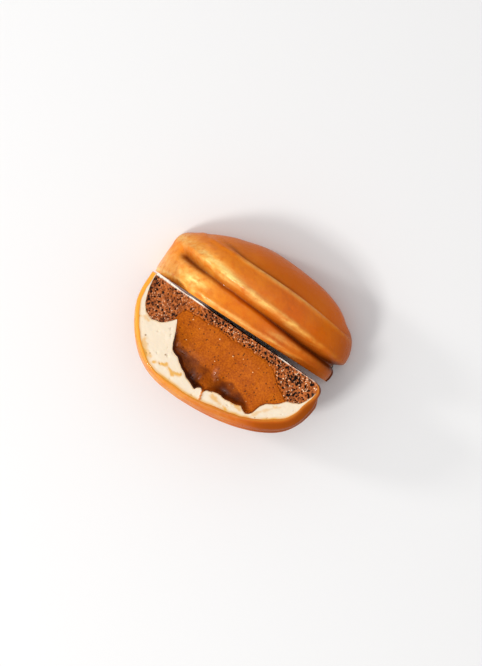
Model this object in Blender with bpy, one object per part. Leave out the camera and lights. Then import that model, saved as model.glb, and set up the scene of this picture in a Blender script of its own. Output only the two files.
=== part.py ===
"""A pecan-shaped mousse dessert, cut in two along its length and laid open.

The dessert is a caramel-coloured glaze over ivory cream, with a caramel centre in a hollow sponge base.
One half stands on its base. The other is tipped onto its side, with its cut face up.
Each half is built in the dessert's own frame: x along the length from the blunt end to the nose,
v out from the cut plane and w up from the base, all in millimetres.
"""

import math

import bpy
import numpy as np

MM = 0.001

# The smooth dome, before its grooves are pressed in.
LENGTH = 90.0
HALF_WIDTH = 34.6
CROWN = 39.8
BELLY_X = -3.0
SECTION_POWER = 2.7

# The blunt end narrows from the belly and closes in a nearly flat wall.
BLUNT_WIDTH_LOSS = 0.46
BLUNT_WIDTH_POWER = 1.9
BLUNT_HEIGHT_LOSS = 0.69
BLUNT_HEIGHT_POWER = 3.6
BLUNT_WALL_POWER = 40.0
BLUNT_WALL_ROUNDING = 4.5

# The nose closes as a full superellipse, in plan and in height.
NOSE_WIDTH_POWERS = (2.2, 4.2)
NOSE_HEIGHT_POWERS = (1.6, 3.8)

# The deep groove beside the middle ridge, at v = GROOVE_V + GROOVE_SLOPE * x.
GROOVE_V = 10.8
GROOVE_SLOPE = -0.07
GROOVE_HALF_WIDTH = 1.9
GROOVE_DEPTH_AT = ((-41.0, 0.0), (-34.0, 2.2), (0.0, 2.3), (30.0, 3.0), (45.0, 2.0))

# The middle ridge lies lower than the lobes beside it, and is rounded off towards the cut.
RIDGE_DROP_AT = ((-44.0, 0.2), (-32.0, 2.0), (-5.0, 2.6), (20.0, 4.6), (36.0, 4.2), (45.0, 2.2))
RIDGE_SHOULDER = (-1.0, 2.6)
CUT_ROUNDING_AT = ((-45.0, 0.3), (-38.0, 1.0), (36.0, 1.0), (45.0, 0.4))
CUT_ROUNDING_REACH = 4.5

# The shallow crease between the wide lobe and the outer one.
CREASE_V = 24.8
CREASE_SLOPE = -0.02
CREASE_TURN = -0.0018
CREASE_DEPTH = 1.2
CREASE_STEP = (-0.6, 1.4)
CREASE_RECOVERY = (2.5, 10.0)
CREASE_FADES = ((-24.0, -13.0), (36.0, 43.0))
LOBE_BULGE = 0.5

GLAZE = 1.4
GAP = 0.3
CREAM_GAP = 0.4

# The outline of the sponge and caramel on the cut face, from the blunt end to the nose: (x, w).
INSERT_OUTLINE = (
    (-42.0, 0.0), (-41.8, 4.3), (-40.6, 9.5), (-38.0, 15.0), (-34.4, 16.6), (-30.4, 15.4), (-26.2, 11.6),
    (-22.6, 17.5), (-20.0, 22.4), (-15.0, 25.0), (-7.5, 29.6), (-3.6, 31.6), (0.5, 29.8), (5.0, 28.3),
    (14.0, 28.1), (19.5, 27.8), (23.0, 24.5), (26.0, 20.0), (31.0, 16.6), (35.0, 13.6), (38.2, 9.8),
    (39.4, 5.0), (39.6, 0.0),
)
INSERT_WIDTH_SHARE = 0.80
INSERT_WALL_POWER = 14.0
INSERT_SECTION_POWER = 2.6

# The side of the sponge's top: it fills the blunt end, lines the base and rises again to the nose.
SPONGE_BLUNT_X = -26.3
SPONGE_BASE_FROM_X = -24.8
SPONGE_BASE = 4.7
SPONGE_RISE_FROM_X = 19.0
SPONGE_NOSE_X = 30.0
SPONGE_NOSE_RISE = 14.0
SPONGE_BEYOND = 60.0

# The caramel has sagged out of the cut: a shallow spoon-shaped dish.
DISH_CENTRE = (3.0, -2.4, 20.5)
DISH_RADII = (28.0, 5.6, 16.5)
DISH_SEGMENTS = 24
DISH_RINGS = 12

# How the tipped half lies.
TILT_DEG = 1.0
YAW_DEG = -1.3
SIDE_FLATTENING = 1.2
HALF_GAP = 2.0

STATIONS = 34
INSERT_STATIONS = 34
BAND_ROWS = (5, 6, 8)
INSERT_ROWS = 10
DENSE = 600
NORMAL_BLURS = 2

MATERIALS = {
    "glaze": ((0.72, 0.27, 0.045, 1.0), 0.28),
    "cream": ((0.93, 0.80, 0.60, 1.0), 0.55),
    "caramel": ((0.42, 0.13, 0.02, 1.0), 0.20),
    "sponge": ((0.24, 0.09, 0.035, 1.0), 0.90),
}


def smooth_step(low, high, value):
    """0 below low, 1 above high, and a smooth rise between."""
    share = np.clip((value - low) / (high - low), 0.0, 1.0)
    return share * share * (3.0 - 2.0 * share)


def along(points, x):
    """The value at x of a line through a few (x, value) points."""
    xs, values = zip(*points)
    return np.interp(x, xs, values)


def evenly(curve, count):
    """Count points spaced evenly by arc length along a dense curve, given as rows of coordinates."""
    steps = np.linalg.norm(np.diff(curve, axis=0), axis=1)
    reach = np.concatenate([[0.0], np.cumsum(steps)])
    wanted = np.linspace(0.0, reach[-1], count)
    return np.stack([np.interp(wanted, reach, column) for column in curve.T], axis=1)


def dome_profile(count):
    """Rows of (x, half width, height) of the smooth dome, pole to pole."""
    towards_end = 1.0 - (1.0 - np.linspace(0.0, 1.0, DENSE)) ** 6
    blunt_length = LENGTH / 2 + BELLY_X
    nose_length = LENGTH / 2 - BELLY_X
    wall = (1.0 - towards_end**BLUNT_WALL_POWER) ** (1.0 / BLUNT_WALL_ROUNDING)
    blunt = np.stack(
        [
            BELLY_X - blunt_length * towards_end,
            HALF_WIDTH * wall * (1.0 - BLUNT_WIDTH_LOSS * towards_end**BLUNT_WIDTH_POWER),
            CROWN * wall * (1.0 - BLUNT_HEIGHT_LOSS * towards_end**BLUNT_HEIGHT_POWER),
        ],
        axis=1,
    )
    width_power, width_root = NOSE_WIDTH_POWERS
    height_power, height_root = NOSE_HEIGHT_POWERS
    nose = np.stack(
        [
            BELLY_X + nose_length * towards_end,
            HALF_WIDTH * (1.0 - towards_end**width_power) ** (1.0 / width_root),
            CROWN * (1.0 - towards_end**height_power) ** (1.0 / height_root),
        ],
        axis=1,
    )
    return evenly(np.concatenate([blunt[::-1], nose[1:]]), count)


def groove_v(x):
    return GROOVE_V + GROOVE_SLOPE * x


def crease_v(x):
    return CREASE_V + CREASE_SLOPE * x + CREASE_TURN * np.maximum(x, 0.0) ** 2


def section_angles(x, half_width):
    """Angles from the cut plane's top (0) to the base (90 degrees), with rows on the groove and the crease."""
    power = SECTION_POWER / 2
    reach = max(half_width, 1e-6)
    groove = math.asin(min(groove_v(x) / reach, 0.90) ** power)
    crease = math.asin(min(crease_v(x) / reach, 0.96) ** power)
    knots = (0.0, groove, crease, math.pi / 2)
    bands = [np.linspace(a, b, rows, endpoint=False) for a, b, rows in zip(knots, knots[1:], BAND_ROWS)]
    return np.concatenate(bands + [[math.pi / 2]])


def section(half_width, height, angles, power):
    """A quarter superellipse as (v, w) at these angles."""
    v = half_width * np.sin(angles) ** (2.0 / power)
    w = height * np.abs(np.cos(angles)) ** (2.0 / power)
    w[-1] = 0.0
    return v, w


def smooth_dome():
    """The dome's points, as an array of station, row and coordinate."""
    grid = []
    for x, half_width, height in dome_profile(STATIONS):
        v, w = section(half_width, height, section_angles(x, half_width), SECTION_POWER)
        grid.append(np.stack([np.full_like(v, x), v, w], axis=1))
    return np.array(grid)


def unit(vectors):
    return vectors / np.linalg.norm(vectors, axis=-1, keepdims=True)


def outward(grid):
    """Unit normals of a dome's points, a little blurred. They lie in the cut plane and the base plane along those edges."""
    ring = grid.copy()
    ring[0], ring[-1] = grid[1], grid[-2]
    along_length = np.gradient(grid, axis=0)
    across = np.gradient(ring, axis=1)
    normals = unit(np.cross(along_length, across))
    for _ in range(NORMAL_BLURS):
        wider = np.pad(normals, ((1, 1), (1, 1), (0, 0)), mode="edge")
        around = wider[:-2, 1:-1] + wider[2:, 1:-1] + wider[1:-1, :-2] + wider[1:-1, 2:]
        normals = unit(around + 4.0 * normals)
    normals[:, 0, 1] = 0.0
    normals[:, -1, 2] = 0.0
    normals[0] = (-1.0, 0.0, 0.0)
    normals[-1] = (1.0, 0.0, 0.0)
    return unit(normals)


def relief(grid):
    """How far each point of the smooth dome is pushed out along its normal: the ridge, groove, lobes and crease."""
    x, v = grid[..., 0], grid[..., 1]
    groove, crease = groove_v(x), crease_v(x)
    low, high = RIDGE_SHOULDER
    on_ridge = 1.0 - smooth_step(groove + low, groove + high, v)
    pushed = -along(RIDGE_DROP_AT, x) * on_ridge
    pushed -= along(CUT_ROUNDING_AT, x) * (1.0 - smooth_step(0.0, CUT_ROUNDING_REACH, v))
    pushed -= along(GROOVE_DEPTH_AT, x) * np.exp(-(((v - groove) / GROOVE_HALF_WIDTH) ** 2))
    across_lobe = np.clip((v - groove) / (crease - groove), 0.0, 1.0)
    pushed += LOBE_BULGE * np.sin(math.pi * across_lobe)
    step = smooth_step(crease + CREASE_STEP[0], crease + CREASE_STEP[1], v)
    recovery = 1.0 - smooth_step(crease + CREASE_RECOVERY[0], crease + CREASE_RECOVERY[1], v)
    (fade_in_from, fade_in_to), (fade_out_from, fade_out_to) = CREASE_FADES
    fade = smooth_step(fade_in_from, fade_in_to, x) * (1.0 - smooth_step(fade_out_from, fade_out_to, x))
    return pushed - CREASE_DEPTH * step * recovery * fade


def down_direction():
    """The way down of the tipped half, as a (v, w) direction in the dessert's frame."""
    tilt = math.radians(TILT_DEG)
    return math.cos(tilt), math.sin(tilt)


def flattened(grid):
    """The side that the tipped half lies on, pressed flat by its own weight."""
    down_v, down_w = down_direction()
    depth = grid[..., 1] * down_v + grid[..., 2] * down_w
    excess = np.maximum(depth - (depth.max() - SIDE_FLATTENING), 0.0)
    pressed = grid.copy()
    pressed[..., 1] -= excess / down_v
    return pressed


def dome_surfaces(lies_on_side):
    """The glaze's outer and inner surfaces, and the cream's outer surface just inside them."""
    smooth = smooth_dome()
    outer = smooth + outward(smooth) * relief(smooth)[..., None]
    if lies_on_side:
        outer = flattened(outer)
    glaze_inside = outer - outward(outer) * GLAZE
    return outer, glaze_inside, glaze_inside - outward(glaze_inside) * CREAM_GAP


def insert_surface(inset):
    """The outside of the sponge and caramel together, pulled in by inset on every side."""
    profile = evenly(np.array(INSERT_OUTLINE), INSERT_STATIONS)
    dome = dome_profile(DENSE)
    angles = np.linspace(0.0, math.pi / 2, INSERT_ROWS)
    first, last = profile[0, 0], profile[-1, 0]
    middle, half_length = (first + last) / 2, (last - first) / 2
    grid = []
    for x, height in profile:
        wall = max(1.0 - abs((x - middle) / half_length) ** INSERT_WALL_POWER, 0.0) ** (1 / SECTION_POWER)
        half_width = INSERT_WIDTH_SHARE * wall * np.interp(x, dome[:, 0], dome[:, 1])
        v, w = section(half_width, height, angles, INSERT_SECTION_POWER)
        grid.append(np.stack([np.full_like(v, x), v, w], axis=1))
    grid = np.array(grid)
    return grid - outward(grid) * inset


def skin(grid, wraps, points):
    """Adds a grid's points, with its first and last station each drawn to one point, and returns (index, faces).

    wraps closes each station into a ring. The faces look inwards at +v."""
    stations, rows = grid.shape[:2]
    index = np.empty((stations, rows), int)
    for i in range(stations):
        at_pole = i in (0, stations - 1)
        for j in range(rows):
            if at_pole and j:
                index[i, j] = index[i, 0]
                continue
            index[i, j] = len(points)
            points.append(grid[i, j])
    if wraps:
        index = np.concatenate([index, index[:, :1]], axis=1)
    faces = []
    for i in range(stations - 1):
        faces += strip(index[i], index[i + 1])
    return index, faces


def strip(first, second):
    """Triangles between two rows of points, along the first row and back along the second."""
    faces = []
    for a, b, c, d in zip(first, first[1:], second[1:], second):
        faces += [[int(corner) for corner in half] for half in ((a, b, c), (a, c, d)) if len(set(half)) == 3]
    return faces


def mesh_from(name, points, faces, side):
    """A mesh of a half's points in millimetres. side is 1 for the half at +v and -1 for its mirror image."""
    placed = [(x * MM, side * v * MM, w * MM) for x, v, w in points]
    if side > 0:
        faces = [face[::-1] for face in faces]
    mesh = bpy.data.meshes.new(name)
    mesh.from_pydata(placed, [], faces)
    mesh.update()
    return mesh


def solid_quarter(name, grid, side):
    """A closed mesh: a dome surface with a flat face on the cut and another on the base."""
    points = []
    index, faces = skin(grid, False, points)
    cut_face = [int(corner) for corner in index[:, 0]]
    base_face = [int(corner) for corner in index[::-1, -1]]
    return mesh_from(name, points, faces + [cut_face, base_face], side)


def shell_quarter(name, outer, inner, side):
    """A closed mesh: the space between two dome surfaces, with a rim on the cut and another on the base."""
    points = []
    outside, faces = skin(outer, False, points)
    inside, inner_faces = skin(inner, False, points)
    faces += [face[::-1] for face in inner_faces]
    faces += strip(outside[:, 0], inside[:, 0])
    faces += strip(inside[:, -1], outside[:, -1])
    return mesh_from(name, points, faces, side)


def ringed(name, rings, side):
    """A closed mesh of rings along x, the first and last of which are points."""
    points = []
    _, faces = skin(rings, True, points)
    return mesh_from(name, points, faces, side)


def full_rings(quarter):
    """A quarter surface, mirrored in the base and in the cut so that its stations become whole rings."""
    below = quarter * (1.0, 1.0, -1.0)
    opposite = quarter * (1.0, -1.0, -1.0)
    across = quarter * (1.0, -1.0, 1.0)
    return np.concatenate([quarter, below[:, -2::-1], opposite[:, 1:], across[:, -2:0:-1]], axis=1)


def ellipsoid_rings(centre, radii):
    """An ellipsoid as rings along x."""
    polar = np.linspace(math.pi, 0.0, DISH_RINGS + 1)[:, None]
    around = np.linspace(0.0, 2 * math.pi, DISH_SEGMENTS, endpoint=False)[None, :]
    unit = np.stack(
        [np.cos(polar) + 0.0 * around, np.sin(polar) * np.sin(around), np.sin(polar) * np.cos(around)], axis=2
    )
    return np.array(centre) + unit * np.array(radii)


def prism(name, outline, low_v, high_v):
    """A block with this (x, w) outline, reaching from low_v to high_v."""
    count = len(outline)
    points = [(x * MM, v * MM, w * MM) for v in (low_v, high_v) for x, w in outline]
    sides = [(i + count, (i + 1) % count + count, (i + 1) % count, i) for i in range(count)]
    caps = [tuple(range(count)), tuple(range(count, 2 * count))[::-1]]
    mesh = bpy.data.meshes.new(name)
    mesh.from_pydata(points, [], caps + sides)
    mesh.update()
    return mesh


def sponge_outline(grown):
    """The (x, w) outline of the space the sponge fills, grown upwards and inwards by this much."""
    top = CROWN
    return (
        (-SPONGE_BEYOND, -SPONGE_BASE),
        (SPONGE_BEYOND, -SPONGE_BASE),
        (SPONGE_BEYOND, SPONGE_NOSE_RISE + grown + 0.2 * (SPONGE_BEYOND - SPONGE_NOSE_X)),
        (SPONGE_NOSE_X, SPONGE_NOSE_RISE + grown),
        (SPONGE_RISE_FROM_X - grown, SPONGE_BASE + grown),
        (SPONGE_BASE_FROM_X + grown, SPONGE_BASE + grown),
        (SPONGE_BLUNT_X + grown, top),
        (-SPONGE_BEYOND, top),
    )


def material(kind):
    """The finish of one layer."""
    colour, roughness = MATERIALS[kind]
    made = bpy.data.materials.new(kind)
    made.use_nodes = True
    shader = made.node_tree.nodes["Principled BSDF"]
    shader.inputs["Base Color"].default_value = colour
    shader.inputs["Roughness"].default_value = roughness
    shader.inputs["Metallic"].default_value = 0.0
    made.diffuse_color = colour
    return made


def place(name, mesh, parent, finish=None):
    """An object for a mesh, carried by a half's empty."""
    made = bpy.data.objects.new(name, mesh)
    bpy.context.scene.collection.objects.link(made)
    made.parent = parent
    if finish:
        mesh.materials.append(finish)
        mesh.shade_smooth()
        mesh.set_sharp_from_angle(angle=math.radians(50))
    return made


def cutter(name, mesh, parent):
    """A helper that is only there to cut others."""
    made = place(name, mesh, parent)
    made.hide_render = True
    made.display_type = "WIRE"
    return made


def cut(target, operation, other):
    boolean = target.modifiers.new(other.name, "BOOLEAN")
    boolean.operation = operation
    boolean.object = other


def build_half(name, side, finishes, lies_on_side):
    """The four layers of one half, on an empty that places it."""
    holder = bpy.data.objects.new(name, None)
    bpy.context.scene.collection.objects.link(holder)
    outer, glaze_inside, cream_outside = dome_surfaces(lies_on_side)

    glaze = shell_quarter("glaze", outer, glaze_inside, side)
    place(f"{name}_glaze", glaze, holder, finishes["glaze"])

    hollow = cutter(f"{name}_insert_space", ringed("insert_space", full_rings(insert_surface(0.0)), side), holder)
    cream = place(f"{name}_cream", solid_quarter("cream", cream_outside, side), holder, finishes["cream"])
    cut(cream, "DIFFERENCE", hollow)

    reach = 2 * HALF_WIDTH
    keep_sponge = cutter(f"{name}_sponge_space", prism("space", sponge_outline(0.0), -reach, reach), holder)
    clear_sponge = cutter(f"{name}_clear_sponge_space", prism("space", sponge_outline(GAP), -reach, reach), holder)
    dish_rings = ellipsoid_rings(DISH_CENTRE, DISH_RADII)
    dish = cutter(f"{name}_caramel_dish", ringed("dish", dish_rings, side), holder)

    insert = insert_surface(GAP)
    sponge = place(f"{name}_sponge", solid_quarter("sponge", insert, side), holder, finishes["sponge"])
    cut(sponge, "INTERSECT", keep_sponge)
    caramel = place(f"{name}_caramel", solid_quarter("caramel", insert, side), holder, finishes["caramel"])
    cut(caramel, "DIFFERENCE", clear_sponge)
    cut(caramel, "DIFFERENCE", dish)
    return holder


def world_box(holders):
    """Lowest and highest corner of what these empties carry."""
    bpy.context.view_layer.update()
    corners = np.array(
        [
            child.matrix_world @ vertex.co
            for holder in holders
            for child in holder.children
            if not child.hide_render
            for vertex in child.data.vertices
        ]
    )
    return corners.min(axis=0), corners.max(axis=0)


def main():
    for leftover in list(bpy.data.objects):
        bpy.data.objects.remove(leftover)
    finishes = {kind: material(kind) for kind in MATERIALS}

    standing = build_half("standing_half", 1, finishes, lies_on_side=False)
    tipped = build_half("tipped_half", -1, finishes, lies_on_side=True)

    tipped.rotation_euler = (math.radians(90 + TILT_DEG), 0.0, math.radians(YAW_DEG))
    low, high = world_box([tipped])
    tipped.location.z = -low[2]
    tipped.location.y = -HALF_GAP * MM

    low, high = world_box([standing, tipped])
    middle = (low + high) / 2
    for holder in (standing, tipped):
        holder.location.x -= middle[0]
        holder.location.y -= middle[1]


main()
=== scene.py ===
"""The looks of a pecan-shaped mousse dessert, cut in two along its length and laid open.

Each half is shaped in the dessert's own frame, in millimetres: x along the length from the blunt end to
the nose, v out from the cut plane and w up from the base. A Placement carries it to the frame's solids.
Every layer is one closed mesh, made of rings: at each station along the length, a ring of points runs
round the layer's cross-section.
"""

import itertools
import logging
import math
from dataclasses import dataclass, field, replace
from enum import Enum

import bmesh
import bpy
import numpy as np
from mathutils import Matrix, Vector


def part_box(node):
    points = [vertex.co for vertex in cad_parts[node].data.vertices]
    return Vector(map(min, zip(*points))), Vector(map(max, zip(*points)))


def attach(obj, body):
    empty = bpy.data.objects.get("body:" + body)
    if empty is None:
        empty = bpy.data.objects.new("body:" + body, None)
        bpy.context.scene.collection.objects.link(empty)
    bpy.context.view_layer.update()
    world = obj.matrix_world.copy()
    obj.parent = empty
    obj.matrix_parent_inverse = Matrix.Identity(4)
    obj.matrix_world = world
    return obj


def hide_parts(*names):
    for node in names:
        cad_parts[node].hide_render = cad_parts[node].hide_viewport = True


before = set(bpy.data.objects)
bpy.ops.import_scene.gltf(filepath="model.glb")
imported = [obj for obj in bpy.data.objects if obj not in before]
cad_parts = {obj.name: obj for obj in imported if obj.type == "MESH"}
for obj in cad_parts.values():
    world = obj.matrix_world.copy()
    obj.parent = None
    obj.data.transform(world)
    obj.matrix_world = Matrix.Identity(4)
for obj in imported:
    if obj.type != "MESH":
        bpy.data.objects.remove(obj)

Array = np.ndarray
NodeSocket = bpy.types.NodeSocket
NodeTree = bpy.types.NodeTree

MM = 0.001
LINE_POINTS = 60
LOG = logging.getLogger("dessert")


class Half(Enum):
    """The two parts of the cut dessert."""

    STANDING = "standing_half"
    TIPPED = "tipped_half"


class Layer(Enum):
    """The foods that the dessert is made of. The values are the record's material slots."""

    GLAZE = "glaze"
    CREAM = "cream"
    CARAMEL = "caramel"
    SPONGE = "sponge"


def smooth_step(low: float, high: float, value: Array) -> Array:
    """A smooth rise of value's share from 0 at low to 1 at high."""
    share = np.clip((value - low) / (high - low), 0.0, 1.0)
    return share * share * (3.0 - 2.0 * share)


def fade(low: float, high: float, value: Array) -> Array:
    """A smooth fall of value's share from 1 at low to 0 at high."""
    return 1.0 - smooth_step(low, high, value)


def capped(value: Array) -> Array:
    """Values kept from 0 to 1."""
    return np.clip(value, 0.0, 1.0)


def hump(centre: float, half_width: float, value: Array) -> Array:
    """A bell curve over value: 1 at the centre, and 0.37 at half_width from it."""
    return np.exp(-(((value - centre) / half_width) ** 2))


def along(points: tuple[tuple[float, float], ...], x: Array) -> Array:
    """The values at x of a line through points, which are pairs of x and value in order of x."""
    xs, values = zip(*points)
    return np.interp(x, xs, values)


def unit(vectors: Array) -> Array:
    """Vectors scaled to length 1."""
    return vectors / np.maximum(np.linalg.norm(vectors, axis=-1, keepdims=True), 1e-12)


def evenly(curve: Array, count: int) -> Array:
    """Points spaced evenly along a curve.

    Args:
        curve: a dense curve, as rows of coordinates.
        count: how many points to return.

    Returns:
        An array of count rows.
    """
    steps = np.linalg.norm(np.diff(curve, axis=0), axis=1)
    reach = np.concatenate([[0.0], np.cumsum(steps)])
    wanted = np.linspace(0.0, reach[-1], count)
    return np.stack([np.interp(wanted, reach, column) for column in curve.T], axis=1)


def gap_to(line: tuple, x: Array, w: Array) -> Array:
    """How far places on the cut face are from a line drawn through corners, which are pairs of x and w."""
    drawn = evenly(np.array(line), LINE_POINTS)
    return np.hypot(x[..., None] - drawn[:, 0], w[..., None] - drawn[:, 1]).min(axis=-1)


def mask_on(points: Array, places: slice | int, values: Array | float) -> Array:
    """A mask over rings of points.

    Args:
        points: the rings.
        places: the places round each ring that have a value. The others have 0.
        values: theirs.

    Returns:
        One number for each point.
    """
    mask = np.zeros(points.shape[:2])
    mask[:, places] = values
    return mask


@dataclass(frozen=True)
class Noise:
    """Smooth noise from -1 to 1, the same on every run.

    Attributes:
        size: millimetres from one swell to the next.
        seed: which noise it is.
        octaves: how many finer layers are added, each half the size and strength of the last.
    """

    size: float
    seed: int
    octaves: int = 1

    LATTICE = 32

    def at(self, *coordinates: Array) -> Array:
        """The noise at some places.

        Args:
            coordinates: one to three arrays of millimetres, of one shape.

        Returns:
            The noise, in that shape.
        """
        places = np.stack(np.broadcast_arrays(*coordinates), axis=-1)
        missing = 3 - places.shape[-1]
        places = np.concatenate([places] + [np.zeros_like(places[..., :1])] * missing, axis=-1)
        total = np.zeros(places.shape[:-1])
        for octave in range(self.octaves):
            total += self.layer(places * 2**octave / self.size, self.seed + octave) / 2**octave
        return total

    def layer(self, places: Array, seed: int) -> Array:
        """One octave of noise between random values on a lattice.

        Args:
            places: an array whose last axis is three coordinates, one unit apart from swell to swell.
            seed: of the lattice's values.

        Returns:
            Values from -1 to 1.
        """
        table = np.random.default_rng(seed).uniform(-1.0, 1.0, (self.LATTICE,) * 3)
        cell = np.floor(places).astype(int)
        share = smooth_step(0.0, 1.0, places - cell)
        total = np.zeros(places.shape[:-1])
        for corner in itertools.product((0, 1), repeat=3):
            weight = np.prod(np.where(corner, share, 1.0 - share), axis=-1)
            i, j, k = np.moveaxis((cell + corner) % self.LATTICE, -1, 0)
            total += weight * table[i, j, k]
        return total


@dataclass(frozen=True)
class Pores:
    """Round holes scattered over a cut face.

    Attributes:
        per_mm2: how many there are on a square millimetre.
        radii: the smallest and the largest radius, in millimetres.
        seed: of their places.
        small_bias: above 1, more of them are small.
    """

    per_mm2: float
    radii: tuple[float, float]
    seed: int
    small_bias: float = 2.0

    CHUNK = 24

    def depth(self, x: Array, w: Array) -> Array:
        """How deep the holes are.

        Args:
            x: a grid of places along the length, one row for each station.
            w: their heights above the base.

        Returns:
            Millimetres below the face, 0 where there is no hole.
        """
        random = np.random.default_rng(self.seed)
        low = np.array([x.min(), w.min()])
        high = np.array([x.max(), w.max()])
        count = int(self.per_mm2 * np.prod(high - low))
        centres = random.uniform(low, high, (count, 2))
        smallest, largest = self.radii
        radii = smallest + (largest - smallest) * random.uniform(size=count) ** self.small_bias
        deepest = np.zeros(x.shape)
        for start in range(0, x.shape[0], self.CHUNK):
            rows = slice(start, start + self.CHUNK)
            near = np.abs(centres[:, 0] - x[rows].mean()) < np.ptp(x[rows]) / 2 + largest
            if not near.any():
                continue
            gap = (x[rows, :, None] - centres[near, 0]) ** 2 + (w[rows, :, None] - centres[near, 1]) ** 2
            deepest[rows] = np.sqrt(np.maximum(radii[near] ** 2 - gap, 0.0)).max(axis=2)
        return deepest


@dataclass(frozen=True)
class Dome:
    """The outside of the dessert, from its smooth mould shape to its ridge, groove, lobes and crease."""

    length: float = 90.0
    half_width: float = 34.6
    crown: float = 39.8
    belly_x: float = -3.0
    section_power: float = 2.7
    blunt_width: tuple[float, float] = (0.46, 1.9)
    blunt_height: tuple[float, float] = (0.69, 3.6)
    blunt_wall: tuple[float, float] = (40.0, 4.5)
    nose_width: tuple[float, float] = (2.2, 4.2)
    nose_height: tuple[float, float] = (1.6, 3.8)
    groove: tuple[float, float] = (10.8, -0.07)
    groove_half_width: float = 1.9
    groove_depth: tuple = ((-41.0, 0.0), (-34.0, 2.2), (0.0, 2.3), (30.0, 3.0), (45.0, 2.0))
    ridge_drop: tuple = ((-44.0, 0.2), (-32.0, 2.0), (-5.0, 2.6), (20.0, 4.6), (36.0, 4.2), (45.0, 2.2))
    ridge_shoulder: tuple[float, float] = (-1.0, 2.6)
    cut_rounding: tuple = ((-45.0, 0.3), (-38.0, 1.0), (36.0, 1.0), (45.0, 0.4))
    cut_rounding_reach: float = 4.5
    crease: tuple[float, float, float] = (24.8, -0.02, -0.0018)
    crease_depth: float = 1.2
    crease_step: tuple[float, float] = (-0.6, 1.4)
    crease_recovery: tuple[float, float] = (2.5, 10.0)
    crease_fades: tuple[float, float, float, float] = (-24.0, -13.0, 36.0, 43.0)
    lobe_bulge: float = 0.5
    side_flattening: float = 1.2
    tilt_deg: float = 1.0
    cut_crest: tuple[float, float, float] = (3.0, 1.5, 0.0)
    groove_crest: tuple[float, float, float] = (3.3, 1.5, 0.0)
    crease_crest: tuple[float, float, float] = (-1.7, 1.4, 0.0)
    marks: tuple = ()
    wander: float = 0.0

    WANDERING = Noise(11.0, 211, octaves=2)
    DENSE = 600
    GROOVE_LIMIT = 0.90
    CREASE_LIMIT = 0.96

    def profile(self, count: int) -> Array:
        """The smooth dome's outline from pole to pole.

        Args:
            count: how many stations to give.

        Returns:
            Rows of x, half width and height.
        """
        to_end = 1.0 - (1.0 - np.linspace(0.0, 1.0, self.DENSE)) ** 6
        width_loss, width_power = self.blunt_width
        height_loss, height_power = self.blunt_height
        wall_power, wall_root = self.blunt_wall
        wall = (1.0 - to_end**wall_power) ** (1.0 / wall_root)
        blunt = np.stack(
            [
                self.belly_x - (self.length / 2 + self.belly_x) * to_end,
                self.half_width * wall * (1.0 - width_loss * to_end**width_power),
                self.crown * wall * (1.0 - height_loss * to_end**height_power),
            ],
            axis=1,
        )
        nose = np.stack(
            [
                self.belly_x + (self.length / 2 - self.belly_x) * to_end,
                self.half_width * (1.0 - to_end ** self.nose_width[0]) ** (1.0 / self.nose_width[1]),
                self.crown * (1.0 - to_end ** self.nose_height[0]) ** (1.0 / self.nose_height[1]),
            ],
            axis=1,
        )
        return evenly(np.concatenate([blunt[::-1], nose[1:]]), count)

    def groove_v(self, x: Array) -> Array:
        """How far the groove runs from the cut plane at x."""
        start, slope = self.groove
        return start + slope * x + self.wander * self.WANDERING.at(x)

    def crease_v(self, x: Array) -> Array:
        """How far the crease runs from the cut plane at x."""
        start, slope, turn = self.crease
        return start + slope * x + turn * np.maximum(x, 0.0) ** 2

    def section_angles(self, x: float, half_width: float, band_rows: tuple[int, int, int]) -> Array:
        """Angles of a station's rows, from the cut plane's top to the base.

        Args:
            x: the station.
            half_width: its half width.
            band_rows: how many rows the ridge, the wide lobe and the outer lobe get.

        Returns:
            Angles in radians, from 0 to a right angle.
        """
        power = self.section_power / 2
        reach = max(half_width, 1e-6)
        groove = math.asin(min(self.groove_v(x) / reach, self.GROOVE_LIMIT) ** power)
        crease = math.asin(min(self.crease_v(x) / reach, self.CREASE_LIMIT) ** power)
        knots = (0.0, groove, crease, math.pi / 2)
        bands = [
            np.linspace(low, high, rows, endpoint=False)
            for low, high, rows in zip(knots, knots[1:], band_rows)
        ]
        return np.concatenate(bands + [[math.pi / 2]])

    def smooth(self, stations: int, band_rows: tuple[int, int, int]) -> Array:
        """The mould's smooth dome, before anything is pressed into it.

        Args:
            stations: how many stations there are from pole to pole.
            band_rows: how many rows the ridge, the wide lobe and the outer lobe get.

        Returns:
            Points, as an array of station, row and coordinate.
        """
        grid = []
        for x, half_width, height in self.profile(stations):
            angles = self.section_angles(x, half_width, band_rows)
            v, w = section(half_width, height, angles, self.section_power)
            grid.append(np.stack([np.full_like(v, x), v, w], axis=1))
        return np.array(grid)

    def relief(self, grid: Array) -> Array:
        """How far each point of the smooth dome is pushed out along its normal.

        Args:
            grid: the smooth dome's points.

        Returns:
            Millimetres, one for each point.
        """
        x, v = grid[..., 0], grid[..., 1]
        groove, crease = self.groove_v(x), self.crease_v(x)
        on_ridge = fade(groove + self.ridge_shoulder[0], groove + self.ridge_shoulder[1], v)
        pushed = -along(self.ridge_drop, x) * on_ridge
        pushed -= along(self.cut_rounding, x) * fade(0.0, self.cut_rounding_reach, v)
        pushed -= along(self.groove_depth, x) * hump(groove, self.groove_half_width, v)
        pushed += self.lobe_bulge * np.sin(math.pi * capped((v - groove) / (crease - groove)))
        pushed += self.crests(x, v, groove, crease)
        for mark_x, mark_v, reach_x, reach_v, height in self.marks:
            pushed += height * hump(mark_x, reach_x, x) * hump(mark_v, reach_v, v)
        return pushed - self.crease_depth * self.crease_mask(x, v)

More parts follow.
